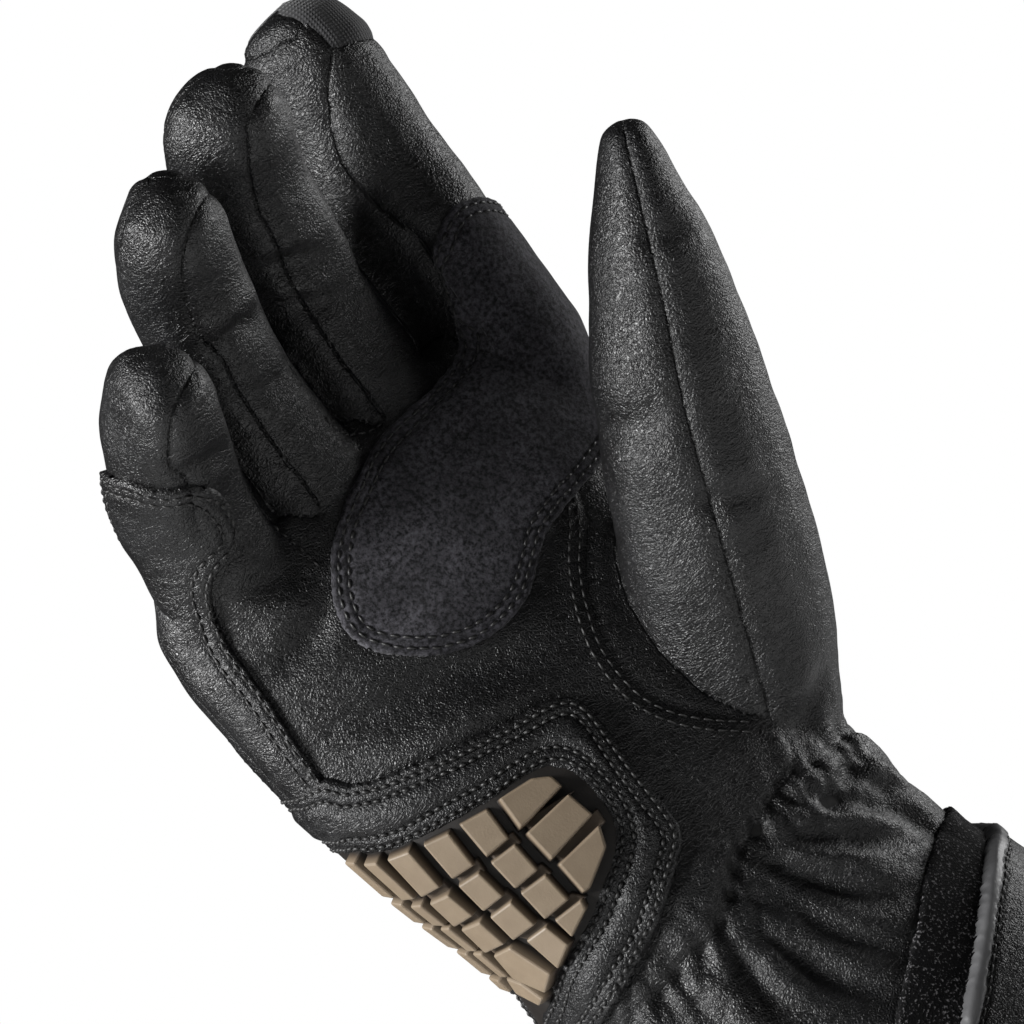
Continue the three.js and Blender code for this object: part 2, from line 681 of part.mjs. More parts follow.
// The closure flap comes round the thumb's side from the cuff's back and lies on the strip.
const FLAP_FROM = SEAM_GAP + STRIP + SEAM_GAP;
const FLAP_PALM_OUTLINE = [
  [1.3, 0.58],
  [0.88, 0.58],
  [0.68, 0.54],
  [0.5, 0.47],
  [0.12, 0.29],
  [-0.16, 0.11],
  [1.3, 0.11],
];
const FLAP_BACK_OUTLINE = [
  [1.3, 0.58],
  [1.3, 0.11],
  [-0.1, 0.11],
  [-0.1, 0.64],
];
const BINDING_WIDTH = 3.6;
const OVERLAP = 0.5;
const backCutter = (points) =>
  cutter(points.map(([x, z]) => [-x, z]), 180 * DEG, -OVERLAP);
const flapCut = (amount) =>
  cutter(inset(FLAP_PALM_OUTLINE.map(cuffPlace), amount), 0, -OVERLAP).add(
    backCutter(inset(FLAP_BACK_OUTLINE.map(cuffPlace), amount)),
  );
const closureFlap = cuffLayer(FLAP_FROM, FLAP).intersect(flapCut(BINDING_WIDTH + SEAM_GAP));
const flapBinding = cuffLayer(FLAP_FROM, FLAP + BINDING)
  .intersect(flapCut(0))
  .subtract(flapCut(BINDING_WIDTH));

const group = new THREE.Group();
group.name = "motorcycle_glove";

const finish = (color, roughness) => new THREE.MeshStandardMaterial({ color, roughness, metalness: 0 });
const leather = finish(0x17161a, 0.5);
const suede = finish(0x1d1c1e, 0.95);
const cloth = finish(0x1b1b1e, 0.85);
const rubber = finish(0x7d6b52, 0.6);
const loops = finish(0x131315, 1);
const tape = finish(0x4a4a4d, 0.5);

function addNode(name, body, material) {
  const made = body.getMesh();
  const geometry = new THREE.BufferGeometry();
  geometry.setAttribute("position", new THREE.BufferAttribute(made.vertProperties, 3));
  geometry.setIndex(new THREE.BufferAttribute(made.triVerts, 1));
  const mesh = new THREE.Mesh(geometry, material);
  mesh.name = name;
  group.add(mesh);
}

addNode("palm_panel", palmPanel, leather);
addNode("back_panel", backPanel, leather);
addNode("index_outer_wall", sideWall(0, false).subtract(capApart), leather);
addNode("middle_thumb_wall", sideWall(1, true), leather);
addNode("middle_outer_wall", sideWall(1, false), leather);
addNode("ring_thumb_wall", sideWall(2, true), leather);
addNode("ring_outer_wall", sideWall(2, false), leather);
addNode("little_thumb_wall", sideWall(3, true), leather);
addNode("index_tip_cap", indexTipCap, cloth);
addNode("thumb_palm_half", thumbPalmHalf, leather);
addNode("thumb_back_half", thumbBackHalf, leather);
addNode("suede_palm_patch", suedePatch, suede);
addNode("outer_edge_panel", outerEdgePanel, leather);
addNode("slider_surround", sliderSurround, leather);
addNode("palm_slider", palmSlider, rubber);
addNode("cuff_palm_panel", cuffPalmPanel, leather);
addNode("cuff_back_panel", cuffBackPanel, leather);
addNode("cuff_hem", hemRing, leather);
addNode("fastening_strip", loopStrip, loops);
addNode("closure_flap", closureFlap, leather);
addNode("flap_binding", flapBinding, tape);

export default group;
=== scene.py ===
"""A black leather motorcycle glove for the right hand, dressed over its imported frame.

Metres. +Z runs from the cuff's rim to the fingertips, +X points to the thumb's side, -Y out of the palm.
"""
import math

import bmesh
import bpy
import numpy as np
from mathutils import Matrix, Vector, noise
from mathutils.bvhtree import BVHTree
from mathutils.kdtree import KDTree


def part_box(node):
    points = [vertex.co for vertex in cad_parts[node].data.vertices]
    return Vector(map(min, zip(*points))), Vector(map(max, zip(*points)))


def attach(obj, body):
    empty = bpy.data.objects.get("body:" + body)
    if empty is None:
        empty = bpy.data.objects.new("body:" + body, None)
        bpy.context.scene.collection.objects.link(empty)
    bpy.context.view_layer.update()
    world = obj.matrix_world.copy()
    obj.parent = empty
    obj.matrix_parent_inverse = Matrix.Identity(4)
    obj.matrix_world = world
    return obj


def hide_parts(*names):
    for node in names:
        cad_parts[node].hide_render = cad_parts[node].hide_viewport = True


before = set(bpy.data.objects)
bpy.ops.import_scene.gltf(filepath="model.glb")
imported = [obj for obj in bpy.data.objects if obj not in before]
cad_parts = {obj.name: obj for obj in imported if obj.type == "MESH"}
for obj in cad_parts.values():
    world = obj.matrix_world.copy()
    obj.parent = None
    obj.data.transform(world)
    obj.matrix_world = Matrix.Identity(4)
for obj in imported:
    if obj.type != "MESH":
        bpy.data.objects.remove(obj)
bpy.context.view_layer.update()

# The leather body
# The real glove is sewn from goat leather about one millimetre thick over a thin lining. All its leather
# pieces come from the frame's solids, joined into one skin, so that neighbours meet without a step. The
# folds and seams are pressed into that skin before it is parted into its pieces again.
MM = 0.001
VOXEL = 0.95 * MM
SEAM_CLOSING = 0.25 * MM  # closes the small gaps that the solids keep at their seams
RIM_CUT = 2.2 * MM  # the skin ends here, inside the hem

PANELS = (
    "palm_panel",
    "back_panel",
    "index_outer_wall",
    "middle_thumb_wall",
    "middle_outer_wall",
    "ring_thumb_wall",
    "ring_outer_wall",
    "little_thumb_wall",
    "index_tip_cap",
    "thumb_palm_half",
    "thumb_back_half",
    "cuff_palm_panel",
    "cuff_back_panel",
)


class Surface:
    """A mesh of four-sided faces as arrays, with named fields that hold a value for each point."""

    def __init__(self, points, faces, fields=None):
        self.points = np.asarray(points, float)
        self.faces = np.asarray(faces, int)
        self.fields = dict(fields or {})
        self._edges = None

    @property
    def edges(self):
        if self._edges is None:
            corners = np.concatenate([self.faces[:, [k, (k + 1) % 4]] for k in range(4)])
            self._edges = np.unique(np.sort(corners, axis=1), axis=0)
        return self._edges

    def normals(self):
        corner = self.points[self.faces]
        across = np.cross(corner[:, 2] - corner[:, 0], corner[:, 3] - corner[:, 1])
        total = np.zeros_like(self.points)
        for axis in range(3):
            for k in range(4):
                total[:, axis] += np.bincount(self.faces[:, k], across[:, axis], len(total))
        return total / np.maximum(np.linalg.norm(total, axis=1), 1e-12)[:, None]

    def spread(self, values, rounds, share=0.5):
        """Each point's value is moved towards the mean of its neighbours' again and again."""
        a, b = self.edges.T
        count = len(self.points)
        neighbours = np.maximum(np.bincount(a, minlength=count) + np.bincount(b, minlength=count), 1)
        flat = np.array(values, float).reshape(count, -1)
        for _ in range(rounds):
            for column in flat.T:
                total = np.bincount(a, column[b], count) + np.bincount(b, column[a], count)
                column += share * (total / neighbours - column)
        return flat.reshape(np.shape(values))

    def keep(self, face_mask):
        faces = self.faces[face_mask]
        used = np.unique(faces)
        place = np.full(len(self.points), -1)
        place[used] = np.arange(len(used))
        fields = {name: values[used] for name, values in self.fields.items()}
        return Surface(self.points[used], place[faces], fields)

    def finer(self):
        """The same surface with each face parted in four."""
        edges = self.edges
        count = len(self.points)
        centres = count + len(edges) + np.arange(len(self.faces))
        key = edges[:, 0] * count + edges[:, 1]
        corners = [self.faces[:, k] for k in range(4)]
        middles = []
        for k in range(4):
            pair = np.sort(np.stack([corners[k], corners[(k + 1) % 4]], 1), axis=1)
            middles.append(count + np.searchsorted(key, pair[:, 0] * count + pair[:, 1]))
        quads = [np.stack([corners[k], middles[k], centres, middles[k - 1]], 1) for k in range(4)]

        def widened(values):
            halves = values[edges].mean(axis=1)
            middle = values[self.faces].mean(axis=1)
            return np.concatenate([values, halves, middle])

        fields = {name: widened(values) for name, values in self.fields.items()}
        return Surface(widened(self.points), np.concatenate(quads), fields)

    def snapped(self, distances):
        """Moves points onto the borders between regions. distances has a row for each region, and a point
        belongs to the region whose distance is least. Returns the moved surface, the moved rows and
        the points that lie on a border."""
        label = distances.argmin(axis=0)
        a, b = self.edges.T
        mixed = label[a] != label[b]
        a, b = a[mixed], b[mixed]
        gap_a = distances[label[b], a] - distances[label[a], a]
        gap_b = distances[label[a], b] - distances[label[b], b]
        share = gap_a / np.maximum(gap_a + gap_b, 1e-12)
        mover = np.concatenate([a, b])
        other = np.concatenate([b, a])
        share = np.concatenate([share, 1 - share])
        order = np.lexsort((share, mover))
        mover, other, share = mover[order], other[order], share[order]
        first = np.unique(mover, return_index=True)[1]
        mover, other, share = mover[first], other[first], share[first]
        near = share <= 0.5
        mover, other, share = mover[near], other[near], share[near]
        points = self.points.copy()
        points[mover] += (self.points[other] - self.points[mover]) * share[:, None]
        rows = distances.copy()
        rows[:, mover] += (distances[:, other] - distances[:, mover]) * share
        fields = {}
        for name, values in self.fields.items():
            moved = values.copy()
            moved[mover] += (values[other] - values[mover]) * share
            fields[name] = moved
        return Surface(points, self.faces, fields), rows, mover


def node_mesh(name):
    """A node's welded mesh, as a bmesh."""
    made = bmesh.new()
    made.from_mesh(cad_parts[name].data)
    bmesh.ops.remove_doubles(made, verts=made.verts, dist=1e-6)
    made.normal_update()
    return made


def remeshed(made, voxel):
    """A bmesh turned into one even skin of four-sided faces."""
    mesh = bpy.data.meshes.new("rough")
    made.to_mesh(mesh)
    made.free()
    rough = bpy.data.objects.new("rough", mesh)
    bpy.context.scene.collection.objects.link(rough)
    remesh = rough.modifiers.new("voxels", "REMESH")
    remesh.mode = "VOXEL"
    remesh.voxel_size = voxel
    result = bpy.data.meshes.new_from_object(rough.evaluated_get(bpy.context.evaluated_depsgraph_get()))
    points = np.empty(len(result.vertices) * 3)
    result.vertices.foreach_get("co", points)
    faces = np.empty(len(result.loops), int)
    result.loops.foreach_get("vertex_index", faces)
    bpy.data.objects.remove(rough)
    bpy.data.meshes.remove(mesh)
    bpy.data.meshes.remove(result)
    return Surface(points.reshape(-1, 3), faces.reshape(-1, 4))


def leather_block(voxel):
    """All the leather pieces as one closed body, whose cuff is plugged at the rim."""
    joined = bmesh.new()
    rim = []
    for name in PANELS:
        part = node_mesh(name)
        for vertex in part.verts:
            vertex.co += vertex.normal * SEAM_CLOSING
        rim += [vertex.co.copy() for vertex in part.verts if vertex.co.z < 4 * MM]
        mesh = bpy.data.meshes.new(name)
        part.to_mesh(mesh)
        part.free()
        joined.from_mesh(mesh)
        bpy.data.meshes.remove(mesh)
    plug = bmesh.new()
    for point in rim:
        plug.verts.new(point)
        plug.verts.new(point + Vector((0, 0, 4 * MM)))
    bmesh.ops.convex_hull(plug, input=plug.verts)
    mesh = bpy.data.meshes.new("plug")
    plug.to_mesh(mesh)
    plug.free()
    joined.from_mesh(mesh)
    bpy.data.meshes.remove(mesh)
    return remeshed(joined, voxel)


def without_rim(surface):
    """Leaves out the plug's flat end."""
    height = surface.points[surface.faces][:, :, 2].min(axis=1)
    return surface.keep(height > RIM_CUT)


FACET_ROUNDS = 16  # evens out the solids' flat facets
skin = leather_block(VOXEL)
skin.points = skin.spread(skin.points, FACET_ROUNDS)
skin = without_rim(skin)


def tree_of(name):
    made = node_mesh(name)
    tree = BVHTree.FromBMesh(made)
    made.free()
    return tree


def distances_to(name, points, reach):
    """How far each point lies from a node's solid, up to a reach."""
    low, high = (np.array(corner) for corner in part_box(name))
    inside = np.all((points > low - reach) & (points < high + reach), axis=1)
    tree = tree_of(name)
    found = np.full(len(points), reach)
    for i in np.nonzero(inside)[0]:
        hit = tree.find_nearest(Vector(points[i]), reach)
        if hit[3] is not None:
            found[i] = hit[3]
    return found


# Each point of the skin belongs to the piece that it is nearest to, and the borders are the seams.
SEAM_REACH = 14 * MM
panel_distances = np.array([distances_to(name, skin.points, SEAM_REACH) for name in PANELS])
panel_distances = np.array([skin.spread(row, 2) for row in panel_distances])


def smoothly(low, high, values):
    t = np.clip((values - low) / (high - low), 0, 1)
    return t * t * (3 - 2 * t)


def dense_line(places, spacing=0.5 * MM):
    """Points along a smooth line through the given places, and their share of its length."""
    places = np.array(places, float)
    steps = 24
    ends = np.concatenate([[2 * places[0] - places[1]], places, [2 * places[-1] - places[-2]]])
    found = []
    for i in range(len(places) - 1):
        p0, p1, p2, p3 = ends[i : i + 4]
        for t in np.linspace(0, 1, steps, endpoint=False):
            curve = 2 * p1 + (p2 - p0) * t + (2 * p0 - 5 * p1 + 4 * p2 - p3) * t**2
            found.append(0.5 * (curve + (3 * p1 - p0 - 3 * p2 + p3) * t**3))
    found.append(places[-1])
    found = np.array(found)
    run = np.concatenate([[0], np.cumsum(np.linalg.norm(np.diff(found, axis=0), axis=1))])
    even = np.linspace(0, run[-1], max(3, int(run[-1] / spacing)))
    return np.stack([np.interp(even, run, found[:, axis]) for axis in range(3)], 1), even


def line_tree(line):
    tree = KDTree(len(line))
    for i, point in enumerate(line):
        tree.insert(point, i)
    tree.balance()
    return tree


# Near the fingertips the pieces are cut otherwise than the solids show. The outer wall is drawn over the tip, and
# the front strip ends below it, towards the thumb. Each row is a seam from the tip down, in millimetres.
TIP_SEAMS = [
    {
        "outer": "index_outer_wall",
        "at": [(39.9, -20.6, 241.8), (37.2, -19.2, 238.7), (35.1, -17.9, 236.2), (33.9, -15.6, 233.2), (32.3, -14.1, 229.3),
               (31.3, -12.7, 225.2), (30.9, -11.8, 220.8), (30.9, -11.6, 215), (31.2, -12, 208.5), (32.1, -13, 202.6)],
        "pole": (38.0, -9.0, 258.0),
        "reach": 0,
    },
    {
        "outer": "middle_outer_wall",
        "at": [(14.4, -46.8, 239.6), (11.9, -51.2, 239.1), (8.8, -52.8, 238.3), (5.8, -53.4, 236.9), (2.7, -53.4, 235),
               (1.6, -51, 233.1), (-0.2, -46.1, 228.7), (0.1, -37.5, 224), (0.3, -31.5, 219.7)],
        "pole": (4.2, -51.0, 244.0),
        "reach": 12,
    },
    {
        "outer": "ring_outer_wall",
        "at": [(-8.5, -47.5, 230.6), (-11, -51.2, 229), (-16, -56.8, 227.6), (-20.6, -57.5, 225.2), (-23.7, -54.5, 222.4),
               (-25.4, -50.6, 219.4), (-25.4, -45.1, 216.2), (-25.2, -40.2, 213.1), (-24.1, -31.3, 205.3)],
        "pole": (-20.8, -54.0, 235.0),
        "reach": 12,
    },
    {
        "outer": "back_panel",
        "at": [(-30.6, -47, 206.2), (-33.6, -49.8, 204.8), (-36.9, -51, 203.7), (-40.4, -51.6, 202.2), (-43.9, -51.2, 200.2),
               (-46.2, -47.2, 197.3), (-47, -40.8, 194), (-47.1, -35.7, 191.7)],
        "pole": (-41.2, -49.5, 209.0),
        "reach": 11,
    },
]
for tip in TIP_SEAMS:
    line, _ = dense_line(np.array(tip["at"]) * MM)
    tree = line_tree(line)
    ahead = np.gradient(line, axis=0)
    normals = skin.normals()
    outer, front = PANELS.index(tip["outer"]), PANELS.index("palm_panel")
    pole = np.array(tip["pole"]) * MM
    near_pole = np.linalg.norm(skin.points - pole, axis=1)
    finger = tip["outer"].split("_")[0]
    own = [PANELS.index(name) for name in PANELS if name.startswith((finger, "palm_panel", "back_panel"))]
    own += [outer, PANELS.index("little_thumb_wall")] if finger == "back" else []
    on_finger = np.isin(panel_distances.argmin(axis=0), own)
    pull = 7 * MM * (1 - smoothly(0, max(tip["reach"], 1) * MM, near_pole))
    panel_distances[outer] -= np.where(on_finger, pull, 0)
    close = np.all((skin.points > line.min(0) - 8 * MM) & (skin.points < line.max(0) + 8 * MM), axis=1)
    for i in np.nonzero(close)[0]:
        _, k, away = tree.find(skin.points[i])
        firm = 1 - smoothly(4 * MM, 7 * MM, away)
        firm *= smoothly(0, 10, len(line) - 1 - k)
        if firm == 0 or not on_finger[i]:
            continue
        across = np.cross(normals[i], ahead[k])
        side = math.copysign(away, float(across @ (skin.points[i] - line[k])))
        others = np.full(len(PANELS), 6 * MM)
        others[outer] = side / 2
        others[front] = -side / 2
        panel_distances[:, i] += firm * (others - panel_distances[:, i])

# The tip cap covers the index finger's tip on the thumb's side. Its edge by the angle round the finger, from
# the palm's side towards the thumb's, and the distance from the tip.
CAP_EDGE = [(-180, 12), (-140, 7), (-100, 1), (-68, 0.5), (-27, 2.2), (-18, 4.2), (-12, 6.3), (-9, 8.8), (-7, 11.8),
            (5, 12.2), (18, 12.7), (32, 13.4), (57, 14.7), (90, 16), (135, 16), (180, 12)]
CAP_POLE = np.array((41.8, -13.3, 256.1)) * MM
CAP_AHEAD = np.array((0.04, -0.28, 0.96))
CAP_PALM = np.array((-0.01, -0.96, -0.28))
CAP_SIDE = np.array((1, 0, -0.04))
from_tip = skin.points - CAP_POLE
turn = np.degrees(np.arctan2(from_tip @ CAP_SIDE, from_tip @ CAP_PALM))
edge_at = np.interp(turn, [row[0] for row in CAP_EDGE], [row[1] * MM for row in CAP_EDGE])
past_edge = -(from_tip @ CAP_AHEAD) - edge_at
at_index = (np.linalg.norm(from_tip, axis=1) < 34 * MM) & (skin.points[:, 0] > 24 * MM)
cap_row = PANELS.index("index_tip_cap")
others = np.delete(panel_distances, cap_row, axis=0).min(axis=0)
panel_distances[cap_row] = np.where(at_index, others + past_edge, SEAM_REACH * 2)

skin, panel_distances, on_seam = skin.snapped(panel_distances)
face_panel = panel_distances[:, skin.faces].sum(axis=2).argmin(axis=0)


def nearest_distance(points, targets):
    tree = KDTree(len(targets))
    for i, target in enumerate(targets):
        tree.insert(target, i)
    tree.balance()
    return np.array([tree.find(point)[2] for point in points])


# The solids' own seams that no seam in the leather follows, and the part of the hand where that is so
HIDDEN_SEAMS = [
    ("palm_panel", "cuff_palm_panel", lambda p: p[:, 2] > 0),
    ("thumb_back_half", "cuff_palm_panel", lambda p: p[:, 2] > 0),
    ("thumb_back_half", "palm_panel", lambda p: p[:, 2] < 110 * MM),
    ("palm_panel", "back_panel", lambda p: (p[:, 1] < -7 * MM) & (p[:, 0] < 0) & (p[:, 2] < 182 * MM)),
]


def seam_points():
    """Points along the skin's seams, evened along each seam."""
    corners = np.sort(np.concatenate([skin.faces[:, [k, (k + 1) % 4]] for k in range(4)]), axis=1)
    owner = np.tile(face_panel, 4)
    order = np.lexsort((corners[:, 1], corners[:, 0]))
    corners, owner = corners[order], owner[order]
    twin = np.nonzero(np.all(corners[1:] == corners[:-1], axis=1))[0]
    parted = twin[owner[twin] != owner[twin + 1]]
    middle = skin.points[corners[parted]].mean(axis=1)
    for first, second, where in HIDDEN_SEAMS:
        pair = {PANELS.index(first), PANELS.index(second)}
        same = np.array([{owner[i], owner[i + 1]} == pair for i in parted])
        kept = ~(same & where(middle))
        parted, middle = parted[kept], middle[kept]
    a, b = corners[parted].T
    count = len(skin.points)
    joins = np.bincount(a, minlength=count) + np.bincount(b, minlength=count)
    along = joins == 2
    points = skin.points.copy()
    for _ in range(8):
        total = np.stack([np.bincount(a, points[b, k], count) + np.bincount(b, points[a, k], count) for k in range(3)], 1)
        points[along] = 0.5 * points[along] + 0.25 * total[along]
    return np.concatenate([points[a] + (points[b] - points[a]) * share for share in (0, 0.25, 0.5, 0.75)])


# Seams inside the solids' pieces: the band at the thumb's root, and the thumb's own seam down to the wrist
THUMB_BAND = [(24, -17.5, 146), (20.2, -18.8, 138.4), (12.7, -20.6, 130.4), (6.3, -22.5, 119.5), (4.7, -23.9, 111.5),
              (5.5, -25.1, 103.5), (10.7, -26, 95.9), (18.6, -25.6, 89.3)]
THUMB_FOOT = [(20.7, -30.9, 95), (18.6, -27.6, 87), (17.0, -26.8, 80), (15.5, -26.8, 75)]
drawn = np.concatenate([dense_line(np.array(line) * MM)[0] for line in (THUMB_BAND, THUMB_FOOT)])
skin.fields["seam"] = nearest_distance(skin.points, np.concatenate([seam_points(), drawn]))


def inside_distance(name, surface):
    """How far inside a covering piece's outline each point lies. Outside the outline it is negative."""
    reach = 9 * MM
    normals = surface.normals()
    nearest = KDTree(len(surface.points))
    for i, point in enumerate(surface.points):
        nearest.insert(point, i)
    nearest.balance()
    made = node_mesh(name)
    whole = BVHTree.FromBMesh(made)
    corners = [vertex.co.copy() for vertex in made.verts]
    walls = []
    for face in made.faces:
        i = nearest.find(face.calc_center_median())[1]
        if abs(face.normal.dot(Vector(normals[i]))) < 0.5:
            walls.append([vertex.index for vertex in face.verts])
    made.free()
    outline = BVHTree.FromPolygons(corners, walls)
    low, high = (np.array(corner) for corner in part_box(name))
    close = np.all((surface.points > low - reach) & (surface.points < high + reach), axis=1)
    found = np.full(len(surface.points), -reach)
    for i in np.nonzero(close)[0]:
        point, normal = Vector(surface.points[i]), Vector(normals[i])
        covered = whole.ray_cast(point - normal * MM, normal, 8 * MM)[0] is not None
        away = outline.find_nearest(point, reach)[3]
        away = reach if away is None else away
        found[i] = away if covered else -away
    return found


# The pieces that are sewn on top: their outlines are laid on the skin before it is folded.
COVERS = ("suede_palm_patch", "fastening_strip", "closure_flap")
for cover in COVERS:
    skin.fields[cover] = skin.spread(inside_distance(cover, skin), 8)

# The slider's surround and its window are cut to outlines laid out flat. Each place is the way round the hand
# from the little finger's side, and the height above the rim. Millimetres.
SURROUND_OUTLINE = [(-16, 135.5), (0, 134.5), (10.5, 131.5), (12.3, 127.6), (16.3, 125.0), (20.3, 123.5),
                    (29.8, 120.4), (42.8, 117.4), (50.8, 116.2), (55.0, 114.3), (57.0, 111.4),
                    (57.2, 106.7), (56.7, 99.7), (56.6, 92.4), (56.6, 86.3), (56.4, 81.8), (55.6, 79.4),
                    (52.7, 77.2), (47.7, 73.3), (42.3, 69.5), (36.3, 66.9), (29.4, 64.0), (23.1, 62.0),
                    (12, 59.5), (-16, 58)]
WINDOW_OUTLINE = [(-9, 119), (4.3, 115.9), (6.8, 114.1), (11.9, 111.4), (16.8, 110.0), (23.8, 108.5),
                  (30.3, 107.1), (38.7, 106.4), (41.9, 105.8), (44.1, 104.7), (45.6, 102.5),
                  (46.4, 98.7), (46.7, 94.6), (46.4, 91.2), (45.1, 88.0), (42.2, 85.3), (38.0, 82.8),
                  (32.6, 79.6), (25.3, 76.6), (15.3, 73.0), (9.2, 70.7), (-9, 66)]
HAND_HALF_WIDTH = 52 * MM  # of the round form that the outlines are laid round
HAND_HALF_DEPTH = 27 * MM


def laid_flat(points):
    """The way round the hand, from its side towards the palm's middle, and the height, of each point."""
    turns = np.linspace(-math.pi, math.pi, 2001)
    speed = np.hypot(HAND_HALF_WIDTH * np.sin(turns), HAND_HALF_DEPTH * np.cos(turns))
    run = np.concatenate([[0], np.cumsum((speed[1:] + speed[:-1]) / 2 * np.diff(turns))])
    run -= np.interp(0, turns, run)
    turn = np.arctan2(-points[:, 1] / HAND_HALF_DEPTH, -points[:, 0] / HAND_HALF_WIDTH)
    return np.stack([np.interp(turn, turns, run), points[:, 2]], 1)


def outline_distance(outline, flat):
    """How far inside a closed outline each flat point lies. Outside it is negative."""
    ends = np.array(outline, float) * MM
    nearest = np.full(len(flat), np.inf)
    inside = np.zeros(len(flat), bool)
    for a, b in zip(ends, np.roll(ends, -1, axis=0)):
        way = b - a
        share = np.clip((flat - a) @ way / (way @ way), 0, 1)
        nearest = np.minimum(nearest, np.linalg.norm(flat - a - share[:, None] * way, axis=1))
        spans = (a[1] > flat[:, 1]) != (b[1] > flat[:, 1])
        inside ^= spans & (flat[:, 0] < a[0] + (flat[:, 1] - a[1]) * way[0] / (way[1] or 1))
    return np.where(inside, nearest, -nearest)


flat_places = laid_flat(skin.points)
window = outline_distance(WINDOW_OUTLINE, flat_places)
around = np.minimum(outline_distance(SURROUND_OUTLINE, flat_places), -window)
of_hand = np.isin(panel_distances.argmin(axis=0), [PANELS.index(name) for name in PANELS if "thumb_" not in name])
of_hand &= (skin.points[:, 0] < 10 * MM) & (skin.points[:, 2] < 145 * MM)
skin.fields["slider_surround"] = skin.spread(np.where(of_hand, np.clip(around, -9 * MM, None), -9 * MM), 4)
skin.fields["palm_slider"] = skin.spread(np.where(of_hand, np.clip(window, -9 * MM, None), -9 * MM), 4)

# The outer edge panel's front edge, from the little finger's side down to the slider. Millimetres.
EDGE_LINE = [(-56, -23, 204), (-54, -27, 202), (-52.2, -32.4, 197.9), (-50.2, -33.7, 193.9),
             (-47.3, -34.4, 191.3), (-43.9, -34.8, 189.6), (-41.0, -33, 187.6), (-38.6, -29.3, 185), (-37.4, -24, 181.5),
             (-37.6, -21, 177.6), (-39.6, -20.3, 175), (-42.4, -19.6, 174), (-45.4, -19, 173), (-47.7, -17.5, 171.5),
             (-49.2, -14.6, 168), (-49.8, -12.2, 164), (-50.5, -11.4, 158), (-51.5, -11.6, 151.7), (-52.2, -11.3, 144.4),
             (-53.1, -10.9, 136.9), (-53.7, -10.7, 130.5), (-53.2, -10.8, 124), (-52.5, -11, 112)]
EDGE_BACK = 8 * MM
EDGE_FOOT = 119 * MM
EDGE_TOP = np.array((-50, -28, 200)) * MM  # on the little finger its end is cut straight across
EDGE_TOP_WAY = np.array((-0.1, -0.55, 0.83))
EDGE_BEHIND = np.array((-56, -19, 203.5)) * MM  # behind the finger it ends in a slanting cut
EDGE_BEHIND_WAY = np.array((0.52, 0.5, 0.69))


def edge_distance():
    line, _ = dense_line(np.array(EDGE_LINE) * MM)
    tree = line_tree(line)
    ahead = np.gradient(line, axis=0)
    normals = skin.normals()
    found = np.full(len(skin.points), -9 * MM)
    owner = panel_distances.argmin(axis=0)
    edge_owners = [PANELS.index(name) for name in ("palm_panel", "back_panel", "little_thumb_wall")]
    near = (skin.points[:, 0] < -30 * MM) & (skin.points[:, 2] > 110 * MM)
    for i in np.nonzero(near)[0]:
        _, k, away = tree.find(skin.points[i])
        side = float(np.cross(normals[i], ahead[k]) @ (skin.points[i] - line[k]))
        front = -math.copysign(min(away, 9 * MM), side)
        found[i] = min(front, EDGE_BACK - skin.points[i, 1], skin.points[i, 2] - EDGE_FOOT)
        found[i] = min(found[i], float((EDGE_TOP - skin.points[i]) @ EDGE_TOP_WAY))
        found[i] = min(found[i], float((EDGE_BEHIND - skin.points[i]) @ EDGE_BEHIND_WAY))
        if owner[i] not in edge_owners:
            found[i] = -9 * MM
    return found


skin.fields["outer_edge_panel"] = skin.spread(edge_distance(), 3)

# The solids are plain round forms. These pushes bring the skin to the real glove's outline, each along a line of
# places, with the way it moves and how wide it acts. Millimetres.
PUSHES = [
    {
        "at": [(24, 10, 170), (23, 9, 184), (25, 6, 203), (27, 1, 218), (29, -4, 238), (32, -6, 250)],
        "by": (-7.2, 2.8, 2.3),
        "end": (-4.4, 1.7, 1.4),
        "wide": 10.5,
        "on": ("index_outer_wall", "index_tip_cap", "back_panel", "palm_panel"),
    },
    {
        "at": [(13, -22, 217), (14, -13, 204), (18, -8, 192)],
        "by": (2.0, -0.7, -1.5),
        "wide": 8,
        "on": ("middle_thumb_wall", "palm_panel"),
    },
    {
        "at": [(-9, -46, 243), (-10, -38, 238), (-10, -28, 230)],
        "by": (-2.5, 1.0, 2.1),
        "wide": 9,
        "on": ("middle_outer_wall", "back_panel", "palm_panel"),
    },
    {
        "at": [(-26.5, -54, 239), (-28, -48, 238)],
        "by": (0.4, -0.2, -1.8),
        "wide": 8,
        "on": ("ring_outer_wall", "back_panel", "palm_panel"),
    },
    {
        "at": [(-36, -38, 219), (-37, -28, 210)],
        "by": (-1.8, 0.7, 1.5),
        "wide": 9,
        "on": ("ring_outer_wall", "back_panel", "palm_panel"),
    },
    {
        "at": [(-50, -48, 211), (-51, -42, 207)],
        "by": (1.9, -0.7, -1.6),
        "wide": 8,
        "on": ("back_panel", "palm_panel", "little_thumb_wall"),
    },
    {
        "at": [(57, -63, 194), (53, -62, 178), (49, -58, 164)],
        "by": (1.4, -0.5, -1.2),
        "wide": 15,
        "on": ("thumb_palm_half", "thumb_back_half"),
    },
    {
        "at": [(-56, -18, 188), (-57, -14, 180), (-58, -8, 170)],
        "by": (-2.4, 0.9, 2.0),
        "wide": 12,
        "on": ("palm_panel", "back_panel"),
    },
    {
        "at": [(-63, -5, 146), (-62, -5, 134)],
        "by": (1.4, -0.5, -1.2),
        "wide": 13,
        "on": ("palm_panel", "back_panel"),
    },
]
